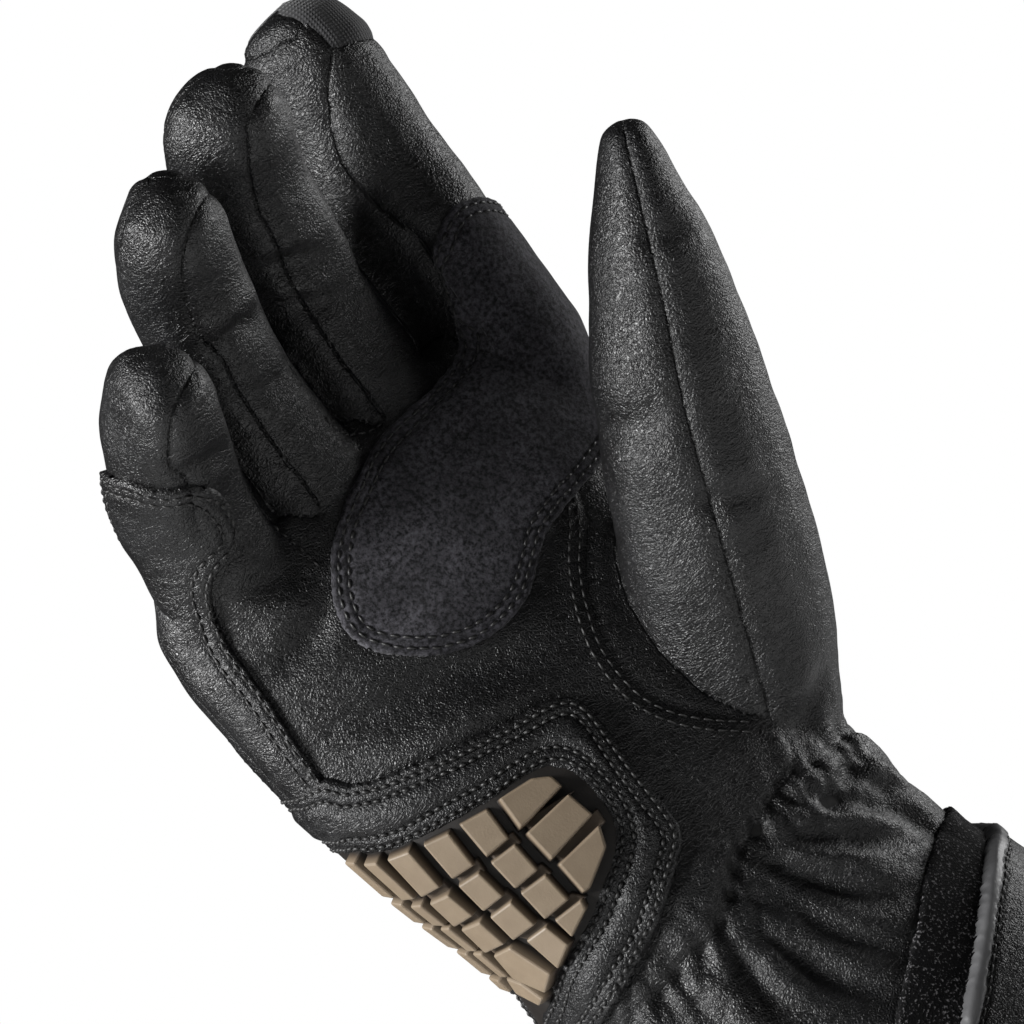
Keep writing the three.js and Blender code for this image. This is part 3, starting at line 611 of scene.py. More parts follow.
# The fingers' roots end in hard steps on the solids; the leather runs over them evenly. Place and radius.
EVENED = [((-53, -12, 172), 17), ((-42, -18, 170), 13), ((-20, -14, 172), 10), ((2, -12, 178), 10), ((24, -10, 182), 9),
          ((40, -20, 92), 16), ((58, -10, 96), 16), ((-22, -16, 182), 8)]
even = skin.spread(skin.points, 60)
for place, radius in EVENED:
    away = np.linalg.norm(skin.points - np.array(place) * MM, axis=1)
    share = 1 - smoothly(0.45 * radius * MM, radius * MM, away)
    skin.points = skin.points + share[:, None] * (even - skin.points)
owner = panel_distances.argmin(axis=0)
for push in PUSHES:
    line, run = dense_line(np.array(push["at"]) * MM, 2 * MM)
    tree = line_tree(line)
    allowed = np.isin(owner, [PANELS.index(name) for name in push["on"]])
    share = skin.spread(allowed.astype(float), 2)
    found = [tree.find(point)[1:] if share[i] else (0, 1.0) for i, point in enumerate(skin.points)]
    place, away = np.array([row[0] for row in found]), np.array([row[1] for row in found])
    share *= np.exp(-((away / (push["wide"] * MM)) ** 2))
    ended = smoothly(0.45, 0.8, run / run[-1])[place][:, None]
    by, end = np.array(push["by"]), np.array(push.get("end", push["by"]))
    skin.points = skin.points + share[:, None] * (by + ended * (end - by)) * MM

# Folds in the leather
# Worn leather buckles where the hand bends. Each row is a crease seen in the real glove: the places that it
# runs through, its depth, and how wide it is. A negative depth is a ridge. Millimetres.
FOLDS = [
    {"at": [(-30, -16, 157), (-37, -15, 153.7), (-44.5, -13, 153), (-47.6, -12, 154)], "deep": 1.5, "wide": 2.6},
    {"at": [(-45, -12.3, 161), (-38.4, -13.8, 160.6), (-31, -15.5, 158.5)], "deep": -1.0, "wide": 3.2},
    {"at": [(-44, -14, 170), (-39.5, -16, 167), (-33.8, -16, 166)], "deep": 0.9, "wide": 2.0},
    {"at": [(-44.4, -14.3, 134.8), (-32.6, -18, 133.5), (-21.8, -19.8, 131.7), (-8, -21.1, 127)], "deep": 1.6, "wide": 4.0},
    {"at": [(-47, -12.6, 128.5), (-35.2, -18.2, 123.8), (-20.2, -21.3, 121.5), (-5, -22.7, 118.9)], "deep": -1.2, "wide": 3.6},
    {"at": [(37, -26.9, 87), (30.4, -25.8, 82.8), (24, -24.5, 80.4)], "deep": 1.5, "wide": 3.0},
    {"at": [(26, -50, 128), (33.5, -50.4, 124.5), (40, -49, 121)], "deep": 0.9, "wide": 2.2},
    {"at": [(22, -38, 151), (27.6, -51.3, 146.5), (33, -56, 144.0)], "deep": 1.2, "wide": 3.4},
    {"at": [(44, -65, 173.5), (51, -65, 170.0), (58, -58, 167.0)], "deep": 0.8, "wide": 2.4},
    {"at": [(-4, -21, 216.4), (3.1, -24.4, 213.2), (11, -19.7, 210)], "deep": 1.2, "wide": 2.4},
    {"at": [(-4, -17, 208), (3, -18, 204.5), (11, -15, 203)], "deep": 0.8, "wide": 2.0},
    {"at": [(-26, -33, 209), (-17.3, -34.6, 207), (-9, -30, 206)], "deep": 1.1, "wide": 2.4},
    {"at": [(-26, -24, 200), (-18, -25, 196), (-9, -22, 195)], "deep": 0.8, "wide": 2.0},
    {"at": [(-47, -38, 193.5), (-40.3, -38.5, 190.7), (-33, -34, 189)], "deep": 0.9, "wide": 2.2},
    {"at": [(22, -12, 184), (29, -14, 181.5), (38, -13, 180)], "deep": 1.0, "wide": 2.4},
    {"at": [(27, -12, 204), (33, -13, 201.5), (42, -12, 201)], "deep": 0.9, "wide": 2.2},
    {"at": [(12.8, -28.8, 72.2), (23.6, -26.2, 64.6), (31.3, -23.5, 56.3), (34.7, -23.3, 49.3)], "deep": 2.1, "wide": 2.2},
    {"at": [(5.9, -29, 69), (12.4, -29.4, 63.2), (20.7, -28.5, 56.5), (33.3, -24.1, 49.7)], "deep": 1.7, "wide": 2.0},
    {"at": [(0.1, -28.9, 66.9), (6.1, -30, 57.6), (12.4, -31.7, 48.9), (21.2, -31.5, 42.1)], "deep": 1.5, "wide": 2.4},
    {"at": [(-4.8, -29.2, 65.1), (-0.9, -30.6, 54.5), (3.8, -33.3, 43.2), (9.7, -35.2, 35.8)], "deep": 1.3, "wide": 2.4},
    {"at": [(-9.5, -29.5, 63.8), (-7.2, -31.6, 50.9), (-3.3, -34.6, 38.9), (1.8, -36.8, 30.9)], "deep": 1.5, "wide": 2.6},
    {"at": [(-14.8, -29.5, 60.7), (-16.2, -31.3, 49.5), (-15.1, -33.5, 40)], "deep": 1.4, "wide": 2.4},
    {"at": [(38, -16.8, 69.4), (27.9, -23.7, 68), (20.6, -27.4, 66.5), (12, -29.4, 63.9)], "deep": 1.3, "wide": 1.8},
    {"at": [(23, -24.6, 72), (31, -22, 63), (38, -18, 55)], "deep": 1.5, "wide": 2.0},
    {"at": [(31, -20, 72.5), (38, -16, 64), (43, -10, 56)], "deep": 1.5, "wide": 2.2},
]


def fold_height(points):
    total = np.zeros(len(points))
    for fold in FOLDS:
        line, run = dense_line(np.array(fold["at"]) * MM)
        tree = line_tree(line)
        wide = fold["wide"] * MM
        near = np.all((points > line.min(0) - 4 * wide) & (points < line.max(0) + 4 * wide), axis=1)
        for i in np.nonzero(near)[0]:
            _, k, away = tree.find(points[i])
            fade = math.sin(math.pi * min(max(run[k] / run[-1], 0.02), 0.98)) ** 0.6
            valley = math.exp(-((away / wide) ** 2))
            shoulder = math.exp(-(((away - 2.2 * wide) / wide) ** 2))
            total[i] += -fold["deep"] * MM * fade * (valley - 0.35 * shoulder)
    return total


# The wrist is drawn in by elastic along one line, so the leather stands in tight folds there. They fan out
# into the cuff, where each pair runs into one, and die away after a few millimetres on the hand's side.
GATHER_LINE = [(44, -6, 72), (35.4, -17.8, 73.8), (23.3, -24.1, 73.8), (14.2, -27.2, 75.4), (4.8, -28.8, 72.2),
               (-3.5, -28.9, 69.7), (-12.9, -29.4, 62.8), (-23.1, -26.8, 60.4), (-34, -21, 58.6), (-44, -8, 58)]
GATHER_PITCH = 5.4 * MM
GATHER_HIGH = 1.5 * MM


def gather_height(points):
    line, run = dense_line(np.array(GATHER_LINE) * MM)
    tree = line_tree(line)
    ahead = np.gradient(line, axis=0)
    ahead /= np.linalg.norm(ahead, axis=1)[:, None]
    reach = 52 * MM
    total = np.zeros(len(points))
    near = (points[:, 1] < 6 * MM) & (points[:, 2] < 92 * MM) & (points[:, 2] > 8 * MM)
    for i in np.nonzero(near)[0]:
        point = points[i]
        _, k, away = tree.find(point)
        if away > reach:
            continue
        side = 1 if point[2] < line[k][2] else -1
        wander = noise.noise(Vector(point) * 90) * 0.5 + noise.noise(Vector(point) * 30) * 0.9
        along = run[k] / GATHER_PITCH + wander
        tight = abs(math.sin(math.pi * along))
        wide = abs(math.sin(math.pi * (along * 0.5 + 0.2 + 0.25 * noise.noise(Vector(point) * 45))))
        if side > 0:
            near_line = math.exp(-away / (7 * MM))
            far = math.exp(-(((away - 10 * MM) / (20 * MM)) ** 2))
            crinkle = abs(noise.noise(Vector((point[0] * 260, point[1] * 260, point[2] * 120))))
            total[i] = GATHER_HIGH * (near_line * (tight - 0.6) + 0.55 * far * (wide - 0.6))
            total[i] -= 0.9 * MM * math.exp(-away / (13 * MM)) * math.exp(-((crinkle / 0.12) ** 2))
        else:
            crinkle = abs(noise.noise(Vector((point[0] * 240, point[1] * 240, point[2] * 150))))
            total[i] = GATHER_HIGH * 0.7 * math.exp(-away / (5 * MM)) * (tight - 0.6)
            total[i] -= 0.5 * MM * math.exp(-away / (9 * MM)) * math.exp(-((crinkle / 0.12) ** 2))
        total[i] -= 1.5 * MM * math.exp(-((away / (1.6 * MM)) ** 2))
    return total


# The hand's warmth leaves no flat place in worn leather: slow waves all over, and finer ones at the joints.
def wave_height(points):
    slow = np.array([noise.noise(Vector(point) * 55) for point in points])
    fine = np.array([noise.noise(Vector((p[0] * 90, p[1] * 90, p[2] * 210))) for p in points])
    return 0.5 * MM * slow + 0.22 * MM * fine


# Seams draw the leather down, and it swells beside them. At the fingertips they lie flat.
SEAM_VALLEY = 0.38 * MM
SEAM_PUFF = 0.25 * MM
THUMB_POLE = np.array((57.2, -63.1, 194.3)) * MM


def seam_height(points, distance):
    valley = np.exp(-((distance / (0.8 * MM)) ** 2))
    puff = np.exp(-(((distance - 3.2 * MM) / (2 * MM)) ** 2))
    height = SEAM_PUFF * puff - SEAM_VALLEY * valley
    for pole in [THUMB_POLE] + [np.array(tip["pole"]) * MM for tip in TIP_SEAMS]:
        height = height * (0.2 + 0.8 * smoothly(3 * MM, 9 * MM, np.linalg.norm(points - pole, axis=1)))
    return height


skin_before_folds = skin.points.copy()
flat_skin = Surface(skin.points, skin.faces, skin.fields)
height = fold_height(skin.points) + gather_height(skin.points) + wave_height(skin.points)
height = skin.spread(height, 1) + seam_height(skin.points, skin.fields["seam"])
skin.points = skin.points + skin.normals() * height[:, None]


# Leather
# Fine-grained black goat leather with a low, warm sheen. The grain is a mesh of small raised cells between
# creases, crossed by finer pores. Colour and gloss drift slowly, as hand-dyed leather does.
def group_tree(name, inputs, outputs):
    """A node group with named inputs and outputs, and its two end nodes."""
    made = bpy.data.node_groups.new(name, "ShaderNodeTree")
    for label, kind in inputs:
        made.interface.new_socket(name=label, in_out="INPUT", socket_type=kind)
    for label, kind in outputs:
        made.interface.new_socket(name=label, in_out="OUTPUT", socket_type=kind)
    return made, made.nodes.new("NodeGroupInput"), made.nodes.new("NodeGroupOutput")


class Wiring:
    """Short calls that add nodes to a tree and join them."""

    def __init__(self, tree):
        self.tree = tree

    def node(self, kind, settings=None, **inputs):
        made = self.tree.nodes.new(kind)
        for name, value in (settings or {}).items():
            setattr(made, name, value)
        for name, value in inputs.items():
            socket = made.inputs[int(name[1:])] if name[0] == "i" and name[1:].isdigit() else made.inputs[name]
            if isinstance(value, bpy.types.NodeSocket):
                self.tree.links.new(value, socket)
            else:
                socket.default_value = value
        return made

    def math(self, operation, a, b=0.0, clamp=False):
        return self.node("ShaderNodeMath", {"operation": operation, "use_clamp": clamp}, i0=a, i1=b).outputs[0]

    def mix(self, share, a, b):
        made = self.node("ShaderNodeMix", {"data_type": "RGBA"}, Factor=share)
        for value, socket in ((a, made.inputs[6]), (b, made.inputs[7])):
            if isinstance(value, bpy.types.NodeSocket):
                self.tree.links.new(value, socket)
            else:
                socket.default_value = value
        return made.outputs[2]

    def ramp(self, value, low, high, to_low=0.0, to_high=1.0):
        settings = {"interpolation_type": "SMOOTHSTEP"}
        made = self.node("ShaderNodeMapRange", settings, i0=value, i1=low, i2=high, i3=to_low, i4=to_high)
        return made.outputs[0]

    def place(self):
        return self.node("ShaderNodeTexCoord").outputs["Object"]

    def value_of(self, attribute):
        return self.node("ShaderNodeAttribute", {"attribute_name": attribute}).outputs["Fac"]


def grain_group():
    """Height of the leather's grain, and a slow mask of wear, at a place in metres."""
    tree, start, end = group_tree(
        "leather_grain",
        [("Place", "NodeSocketVector")],
        [("Height", "NodeSocketFloat"), ("Wear", "NodeSocketFloat"), ("Creases", "NodeSocketFloat")],
    )
    wire = Wiring(tree)
    place = start.outputs["Place"]
    drift = wire.node("ShaderNodeTexNoise", Vector=place, Scale=420.0, Detail=2.0).outputs["Color"]
    bent = wire.node("ShaderNodeVectorMath", {"operation": "MULTIPLY_ADD"}, i0=drift, i1=(0.0011,) * 3, i2=place)
    cells = wire.node(
        "ShaderNodeTexVoronoi", {"feature": "DISTANCE_TO_EDGE"}, Vector=bent.outputs[0], Scale=1650.0
    ).outputs["Distance"]
    pebble = wire.ramp(cells, 0.0, 0.34)
    fine = wire.node("ShaderNodeTexNoise", Vector=place, Scale=2600.0, Detail=3.0).outputs["Fac"]
    slow = wire.node("ShaderNodeTexNoise", Vector=place, Scale=62.0, Detail=3.0).outputs["Fac"]
    height = wire.math("MULTIPLY_ADD", fine, 0.35)
    tree.nodes[-1].inputs[2].default_value = 0.0
    tree.links.new(wire.math("ADD", pebble, height), end.inputs["Height"])
    tree.links.new(wire.ramp(slow, 0.38, 0.66), end.inputs["Wear"])
    long = wire.node("ShaderNodeVectorMath", {"operation": "MULTIPLY"}, i0=place, i1=(1.0, 1.0, 2.4))
    creases = wire.node("ShaderNodeTexNoise", Vector=long.outputs[0], Scale=330.0, Detail=3.0, Distortion=0.8)
    sharp = wire.math("ABSOLUTE", wire.math("SUBTRACT", creases.outputs["Fac"], 0.5))
    tree.links.new(wire.ramp(sharp, 0.0, 0.12), end.inputs["Creases"])
    return tree


GRAIN = grain_group()


def new_material(name, colour, roughness):
    """A material and its wiring, with one Principled shader."""
    made = bpy.data.materials.new(name)
    made.use_nodes = True
    made.diffuse_color = (*colour, 1)
    shader = made.node_tree.nodes["Principled BSDF"]
    shader.inputs["Base Color"].default_value = (*colour, 1)
    shader.inputs["Roughness"].default_value = roughness
    return made, Wiring(made.node_tree), shader


def leather_material(name):
    made, wire, shader = new_material(name, (0.008, 0.0078, 0.0085), 0.42)
    grain = wire.node("ShaderNodeGroup", {"node_tree": GRAIN}, Place=wire.place())
    # The ramp near each seam paints the colour almost black there, as painted shade in the seam's groove; the same ramp
    # also presses the groove in as a bump.
    seam_groove_and_shade = wire.ramp(wire.value_of("seam"), 0.05, 0.5)
    colour = wire.mix(grain.outputs["Wear"], (0.003, 0.003, 0.0038, 1), (0.0052, 0.0048, 0.0052, 1))
    creased = wire.mix(grain.outputs["Height"], (0.002, 0.002, 0.002, 1), colour)
    wire.tree.links.new(wire.mix(seam_groove_and_shade, (0.001, 0.001, 0.001, 1), creased), shader.inputs["Base Color"])
    rough = wire.ramp(grain.outputs["Wear"], 0.0, 1.0, 0.45, 0.37)
    wire.tree.links.new(rough, shader.inputs["Roughness"])
    shader.inputs["Specular IOR Level"].default_value = 0.46
    groove = wire.node("ShaderNodeBump", Height=seam_groove_and_shade, Distance=0.0003, Strength=1.0)
    folded = wire.node(
        "ShaderNodeBump", Height=grain.outputs["Creases"], Distance=0.00018, Strength=0.62, Normal=groove.outputs[0]
    )
    bump = wire.node(
        "ShaderNodeBump", Height=grain.outputs["Height"], Distance=0.0001, Strength=0.8, Normal=folded.outputs[0]
    )
    wire.tree.links.new(bump.outputs[0], shader.inputs["Normal"])
    return made


LEATHER = leather_material("black_leather")


def show(surface, name, material, nodes=(), fields=()):
    """Makes a surface a piece of the scene. Fields are kept on it in millimetres."""
    mesh = bpy.data.meshes.new(name)
    mesh.from_pydata(surface.points.tolist(), [], surface.faces.tolist())
    mesh.polygons.foreach_set("use_smooth", np.ones(len(mesh.polygons), bool))
    for field in fields:
        values = mesh.attributes.new(field, "FLOAT", "POINT")
        values.data.foreach_set("value", (surface.fields[field] / MM).astype(np.float32))
    mesh.materials.append(material)
    mesh.update()
    piece = bpy.data.objects.new(name, mesh)
    bpy.context.scene.collection.objects.link(piece)
    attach(piece, "root")
    if nodes:
        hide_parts(*nodes)
    return piece


# The index finger's tip cap is a fine knitted cloth that works a touchscreen.
def cloth_material():
    made, wire, shader = new_material("cap_cloth", (0.012, 0.012, 0.014), 0.85)
    place = wire.place()
    weave = wire.node("ShaderNodeTexWave", {"wave_type": "BANDS"}, Vector=place, Scale=420.0, Distortion=0.6)
    cross = wire.node(
        "ShaderNodeTexWave", {"wave_type": "BANDS", "bands_direction": "Z"}, Vector=place, Scale=420.0, Distortion=0.6
    )
    height = wire.math("MULTIPLY", weave.outputs["Fac"], cross.outputs["Fac"])
    bump = wire.node("ShaderNodeBump", Height=height, Distance=0.00022, Strength=0.9)
    wire.tree.links.new(bump.outputs[0], shader.inputs["Normal"])
    wire.tree.links.new(wire.mix(height, (0.007, 0.007, 0.008, 1), (0.022, 0.022, 0.024, 1)), shader.inputs["Base Color"])
    shader.inputs["Sheen Weight"].default_value = 0.15
    return made


CLOTH = cloth_material()
for index, panel in enumerate(PANELS):
    is_cap = panel == "index_tip_cap"
    show(
        skin.keep(face_panel == index),
        panel + "_skin",
        CLOTH if is_cap else LEATHER,
        nodes=(panel,),
        fields=("seam",),
    )

# Pieces sewn on top
# Each covering piece is cut from the folded skin inside its outline, thickened, and rolled over at its edge.
def border_split(surface, field, level=0.0):
    """The part of a surface where a field is above a level, with its edge moved onto that level and evened."""
    values = surface.fields[field] - level
    moved, _, _ = surface.snapped(np.stack([-values, values]))
    made = moved.keep((moved.fields[field] - level)[moved.faces].sum(axis=1) > 0)
    corners = np.sort(np.concatenate([made.faces[:, [k, (k + 1) % 4]] for k in range(4)]), axis=1)
    edges, uses = np.unique(corners, axis=0, return_counts=True)
    a, b = edges[uses == 1].T
    count = len(made.points)
    along = np.bincount(a, minlength=count) + np.bincount(b, minlength=count) == 2
    for _ in range(10):
        for column in made.points.T:
            total = np.bincount(a, column[b], count) + np.bincount(b, column[a], count)
            column[along] = 0.5 * column[along] + 0.25 * total[along]
    return made


def rolled(distance, radius):
    """A quarter round from 0 at an edge to 1 at a radius inside it."""
    t = np.clip(distance / radius, 0, 1)
    return np.sqrt(1 - (1 - t) ** 2)


def channel(distance, wide):
    return np.exp(-((distance / wide) ** 2))


TUCK = 0.35 * MM  # how deep an edge is set into the leather below


def cover_surface(field, high, radius, rows=(), level=0.0, puff=0.0):
    """A covering piece's surface. rows are the distances from the edge at which thread draws it down."""
    made = border_split(skin, field, level).finer()
    made.points = made.spread(made.points, 2)
    inside = made.fields[field] - level
    rise = (high + TUCK) * rolled(inside, radius) - TUCK
    for row in rows:
        rise -= 0.4 * MM * channel(inside - row, 0.55 * MM)
    rise += puff * smoothly(rows[-1], rows[-1] + 2.4 * MM, inside) if puff else 0
    made.points = made.points + made.normals() * rise[:, None]
    made.fields["edge"] = np.maximum(inside, 0)
    return made


def contour(surface, values, level):
    """Lines on a surface along which a value has one level."""
    quads = surface.faces
    triangles = np.concatenate([quads[:, [0, 1, 2]], quads[:, [0, 2, 3]]])
    above = values[triangles] > level
    mixed = above.any(axis=1) & ~above.all(axis=1)
    points = {}
    ways = {}
    for triangle in triangles[mixed].tolist():
        crossed = []
        for k in range(3):
            a, b = sorted((triangle[k], triangle[(k + 1) % 3]))
            if (values[a] > level) != (values[b] > level):
                share = (level - values[a]) / (values[b] - values[a])
                points[a, b] = surface.points[a] + (surface.points[b] - surface.points[a]) * share
                crossed.append((a, b))
        if len(crossed) == 2:
            ways.setdefault(crossed[0], []).append(crossed[1])
            ways.setdefault(crossed[1], []).append(crossed[0])
    lines = []
    left = dict(ways)
    for start in sorted(ways, key=lambda key: (len(ways[key]), key)):
        if start not in left:
            continue
        line = [start]
        del left[start]
        while True:
            ahead = [key for key in ways[line[-1]] if key in left]
            if not ahead:
                break
            line.append(ahead[0])
            del left[ahead[0]]
        lines.append(np.array([points[key] for key in line]))
    return lines


# Thread
# Bonded black thread in rows of separate stitches. Each stitch is a short, thick bow that dips into the
# leather at both ends.
STITCH_SIDES = 6
STITCH_RINGS = ((0.0, 0.5, -0.5), (0.18, 1.0, 0.1), (0.5, 1.1, 0.5), (0.82, 1.0, 0.1), (1.0, 0.5, -0.5))


def thread_material():
    made, wire, shader = new_material("black_thread", (0.006, 0.006, 0.0065), 0.5)
    fibres = wire.node("ShaderNodeTexNoise", Vector=wire.place(), Scale=6000.0, Detail=1.0).outputs["Fac"]
    bump = wire.node("ShaderNodeBump", Height=fibres, Distance=0.0001, Strength=0.6)
    wire.tree.links.new(bump.outputs[0], shader.inputs["Normal"])
    wire.tree.links.new(wire.mix(fibres, (0.004, 0.004, 0.004, 1), (0.012, 0.0115, 0.011, 1)), shader.inputs["Base Color"])
    return made


THREAD = thread_material()


def resampled(line, spacing):
    run = np.concatenate([[0], np.cumsum(np.linalg.norm(np.diff(line, axis=0), axis=1))])
    count = int(run[-1] / spacing)
    even = np.linspace(0, run[-1], max(count, 1) + 1)
    smooth = np.stack([np.interp(even, run, line[:, axis]) for axis in range(3)], 1)
    return smooth


def stitch_row(name, surface, lines, pitch=2.5 * MM, length=1.9 * MM, radius=0.3 * MM, lift=0.05 * MM):
    """Rows of stitches along lines on a surface."""
    normals = surface.normals()
    nearest = line_tree(surface.points)
    points = []
    faces = []
    for line in lines:
        stops = resampled(line, pitch)
        if len(stops) < 4:
            continue
        for a, b in zip(stops[:-1], stops[1:]):
            middle = (a + b) / 2
            up = Vector(normals[nearest.find(middle)[1]])
            along = Vector(b - a)
            along -= up * along.dot(up)
            if along.length < 0.5 * pitch:
                continue
            along.normalize()
            side = up.cross(along)
            first = len(points)
            for place, wide, high in STITCH_RINGS:
                centre = Vector(middle) + along * (place - 0.5) * length + up * (high * radius + lift)
                for k in range(STITCH_SIDES):
                    turn = 2 * math.pi * k / STITCH_SIDES
                    around = side * math.cos(turn) + up * math.sin(turn)
                    points.append(centre + around * radius * wide)
            for ring in range(len(STITCH_RINGS) - 1):
                for k in range(STITCH_SIDES):
                    a0 = first + ring * STITCH_SIDES
                    a1 = a0 + STITCH_SIDES
                    following = (k + 1) % STITCH_SIDES
                    faces.append((a0 + k, a0 + following, a1 + following, a1 + k))
            last = first + (len(STITCH_RINGS) - 1) * STITCH_SIDES
            faces.append(tuple(range(first + STITCH_SIDES - 1, first - 1, -1)))
            faces.append(tuple(range(last, last + STITCH_SIDES)))
    mesh = bpy.data.meshes.new(name)
    mesh.from_pydata(points, [], faces)
    mesh.polygons.foreach_set("use_smooth", np.ones(len(mesh.polygons), bool))
    mesh.materials.append(THREAD)
    piece = bpy.data.objects.new(name, mesh)
    bpy.context.scene.collection.objects.link(piece)
    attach(piece, "root")
    return piece


skin_tree = BVHTree.FromPolygons(skin.points.tolist(), skin.faces.tolist())


def laid_on_skin(places, aside=0.0):
    """A line through places, moved onto the skin and a distance aside on it."""
    line, _ = dense_line(np.array(places) * MM)
    found = []
    for point, way in zip(line, np.gradient(line, axis=0)):
        place, normal, _, _ = skin_tree.find_nearest(Vector(point))
        found.append(skin_tree.find_nearest(place + normal.cross(Vector(way)).normalized() * aside)[0])
    return np.array(found)


# Two rows hold the band at the thumb's root, and one runs round each web between the fingers.
WEB_ROWS = [
    [(-29.8, -14.6, 175.2), (-28.6, -13.7, 170.8), (-28.0, -14.6, 167.0), (-27.8, -15.3, 162.9)],
    [(-8.8, -16.8, 185.6), (-8.2, -15.4, 181.8), (-4.7, -10.7, 178.6), (-1.3, -11.4, 177.5), (2.2, -11.3, 177.5)],
]
stitch_row("thumb_band_stitches", skin, [laid_on_skin(THUMB_BAND, aside) for aside in (-1.6 * MM, -3.6 * MM)])
stitch_row("web_stitches", skin, [laid_on_skin(row) for row in WEB_ROWS], 2.0 * MM, 1.6 * MM)

# The suede patch
# Thin synthetic suede over the palm under the fingers, where the grip wears. It is sewn down with two rows.
SUEDE_ROWS = (1.7 * MM, 3.6 * MM)


def suede_material():
    made, wire, shader = new_material("charcoal_suede", (0.012, 0.012, 0.0125), 0.95)
    place = wire.place()
    nap = wire.node("ShaderNodeTexNoise", Vector=place, Scale=1050.0, Detail=6.0, Roughness=0.75).outputs["Fac"]
    patch = wire.node("ShaderNodeTexNoise", Vector=place, Scale=120.0, Detail=3.0).outputs["Fac"]
    tone = wire.math("MULTIPLY", wire.ramp(nap, 0.35, 0.68), wire.ramp(patch, 0.25, 0.75, 0.55, 1.0))
    colour = wire.mix(tone, (0.003, 0.003, 0.0036, 1), (0.085, 0.082, 0.094, 1))
    wire.tree.links.new(colour, shader.inputs["Base Color"])
    bump = wire.node("ShaderNodeBump", Height=nap, Distance=0.00022, Strength=0.9)
    wire.tree.links.new(bump.outputs[0], shader.inputs["Normal"])
    shader.inputs["Sheen Weight"].default_value = 0.12
    shader.inputs["Sheen Roughness"].default_value = 0.5
    shader.inputs["Specular IOR Level"].default_value = 0.2
    return made


suede = cover_surface("suede_palm_patch", 1.5 * MM, 1.3 * MM, SUEDE_ROWS)
show(suede, "suede_palm_patch_skin", suede_material(), ("suede_palm_patch",))
for number, row in enumerate(SUEDE_ROWS, 1):
    stitch_row(f"suede_stitches_{number}", suede, contour(suede, suede.fields["suede_palm_patch"], row))

# The outer edge panel
# A second layer of leather where the little finger's side takes a fall, sewn with two rows.
EDGE_ROWS = (1.7 * MM, 3.8 * MM)
edge_panel = cover_surface("outer_edge_panel", 1.7 * MM, 1.5 * MM, EDGE_ROWS)
edge_panel.fields["seam"] = np.full(len(edge_panel.points), 9 * MM)
show(edge_panel, "outer_edge_panel_skin", LEATHER, ("outer_edge_panel",), fields=("seam",))
for number, row in enumerate(EDGE_ROWS, 1):
    stitch_row(f"edge_stitches_{number}", edge_panel, contour(edge_panel, edge_panel.fields["outer_edge_panel"], row))

# The slider's surround
# Leather over thin foam, sewn with two rows outside and two more round the slider's window.
SURROUND_ROWS = (1.7 * MM, 3.8 * MM)
surround = cover_surface("slider_surround", 2.0 * MM, 1.5 * MM, SURROUND_ROWS, puff=0.7 * MM)
surround.fields["seam"] = np.full(len(surround.points), 9 * MM)
surround_piece = show(surround, "slider_surround_skin", LEATHER, ("slider_surround",), fields=("seam",))
for number, row in enumerate(SURROUND_ROWS, 1):
    lines = contour(surround, surround.fields["slider_surround"], row)
    stitch_row(f"surround_stitches_{number}", surround, lines, 2.0 * MM, 1.6 * MM, 0.36 * MM, 0.1 * MM)

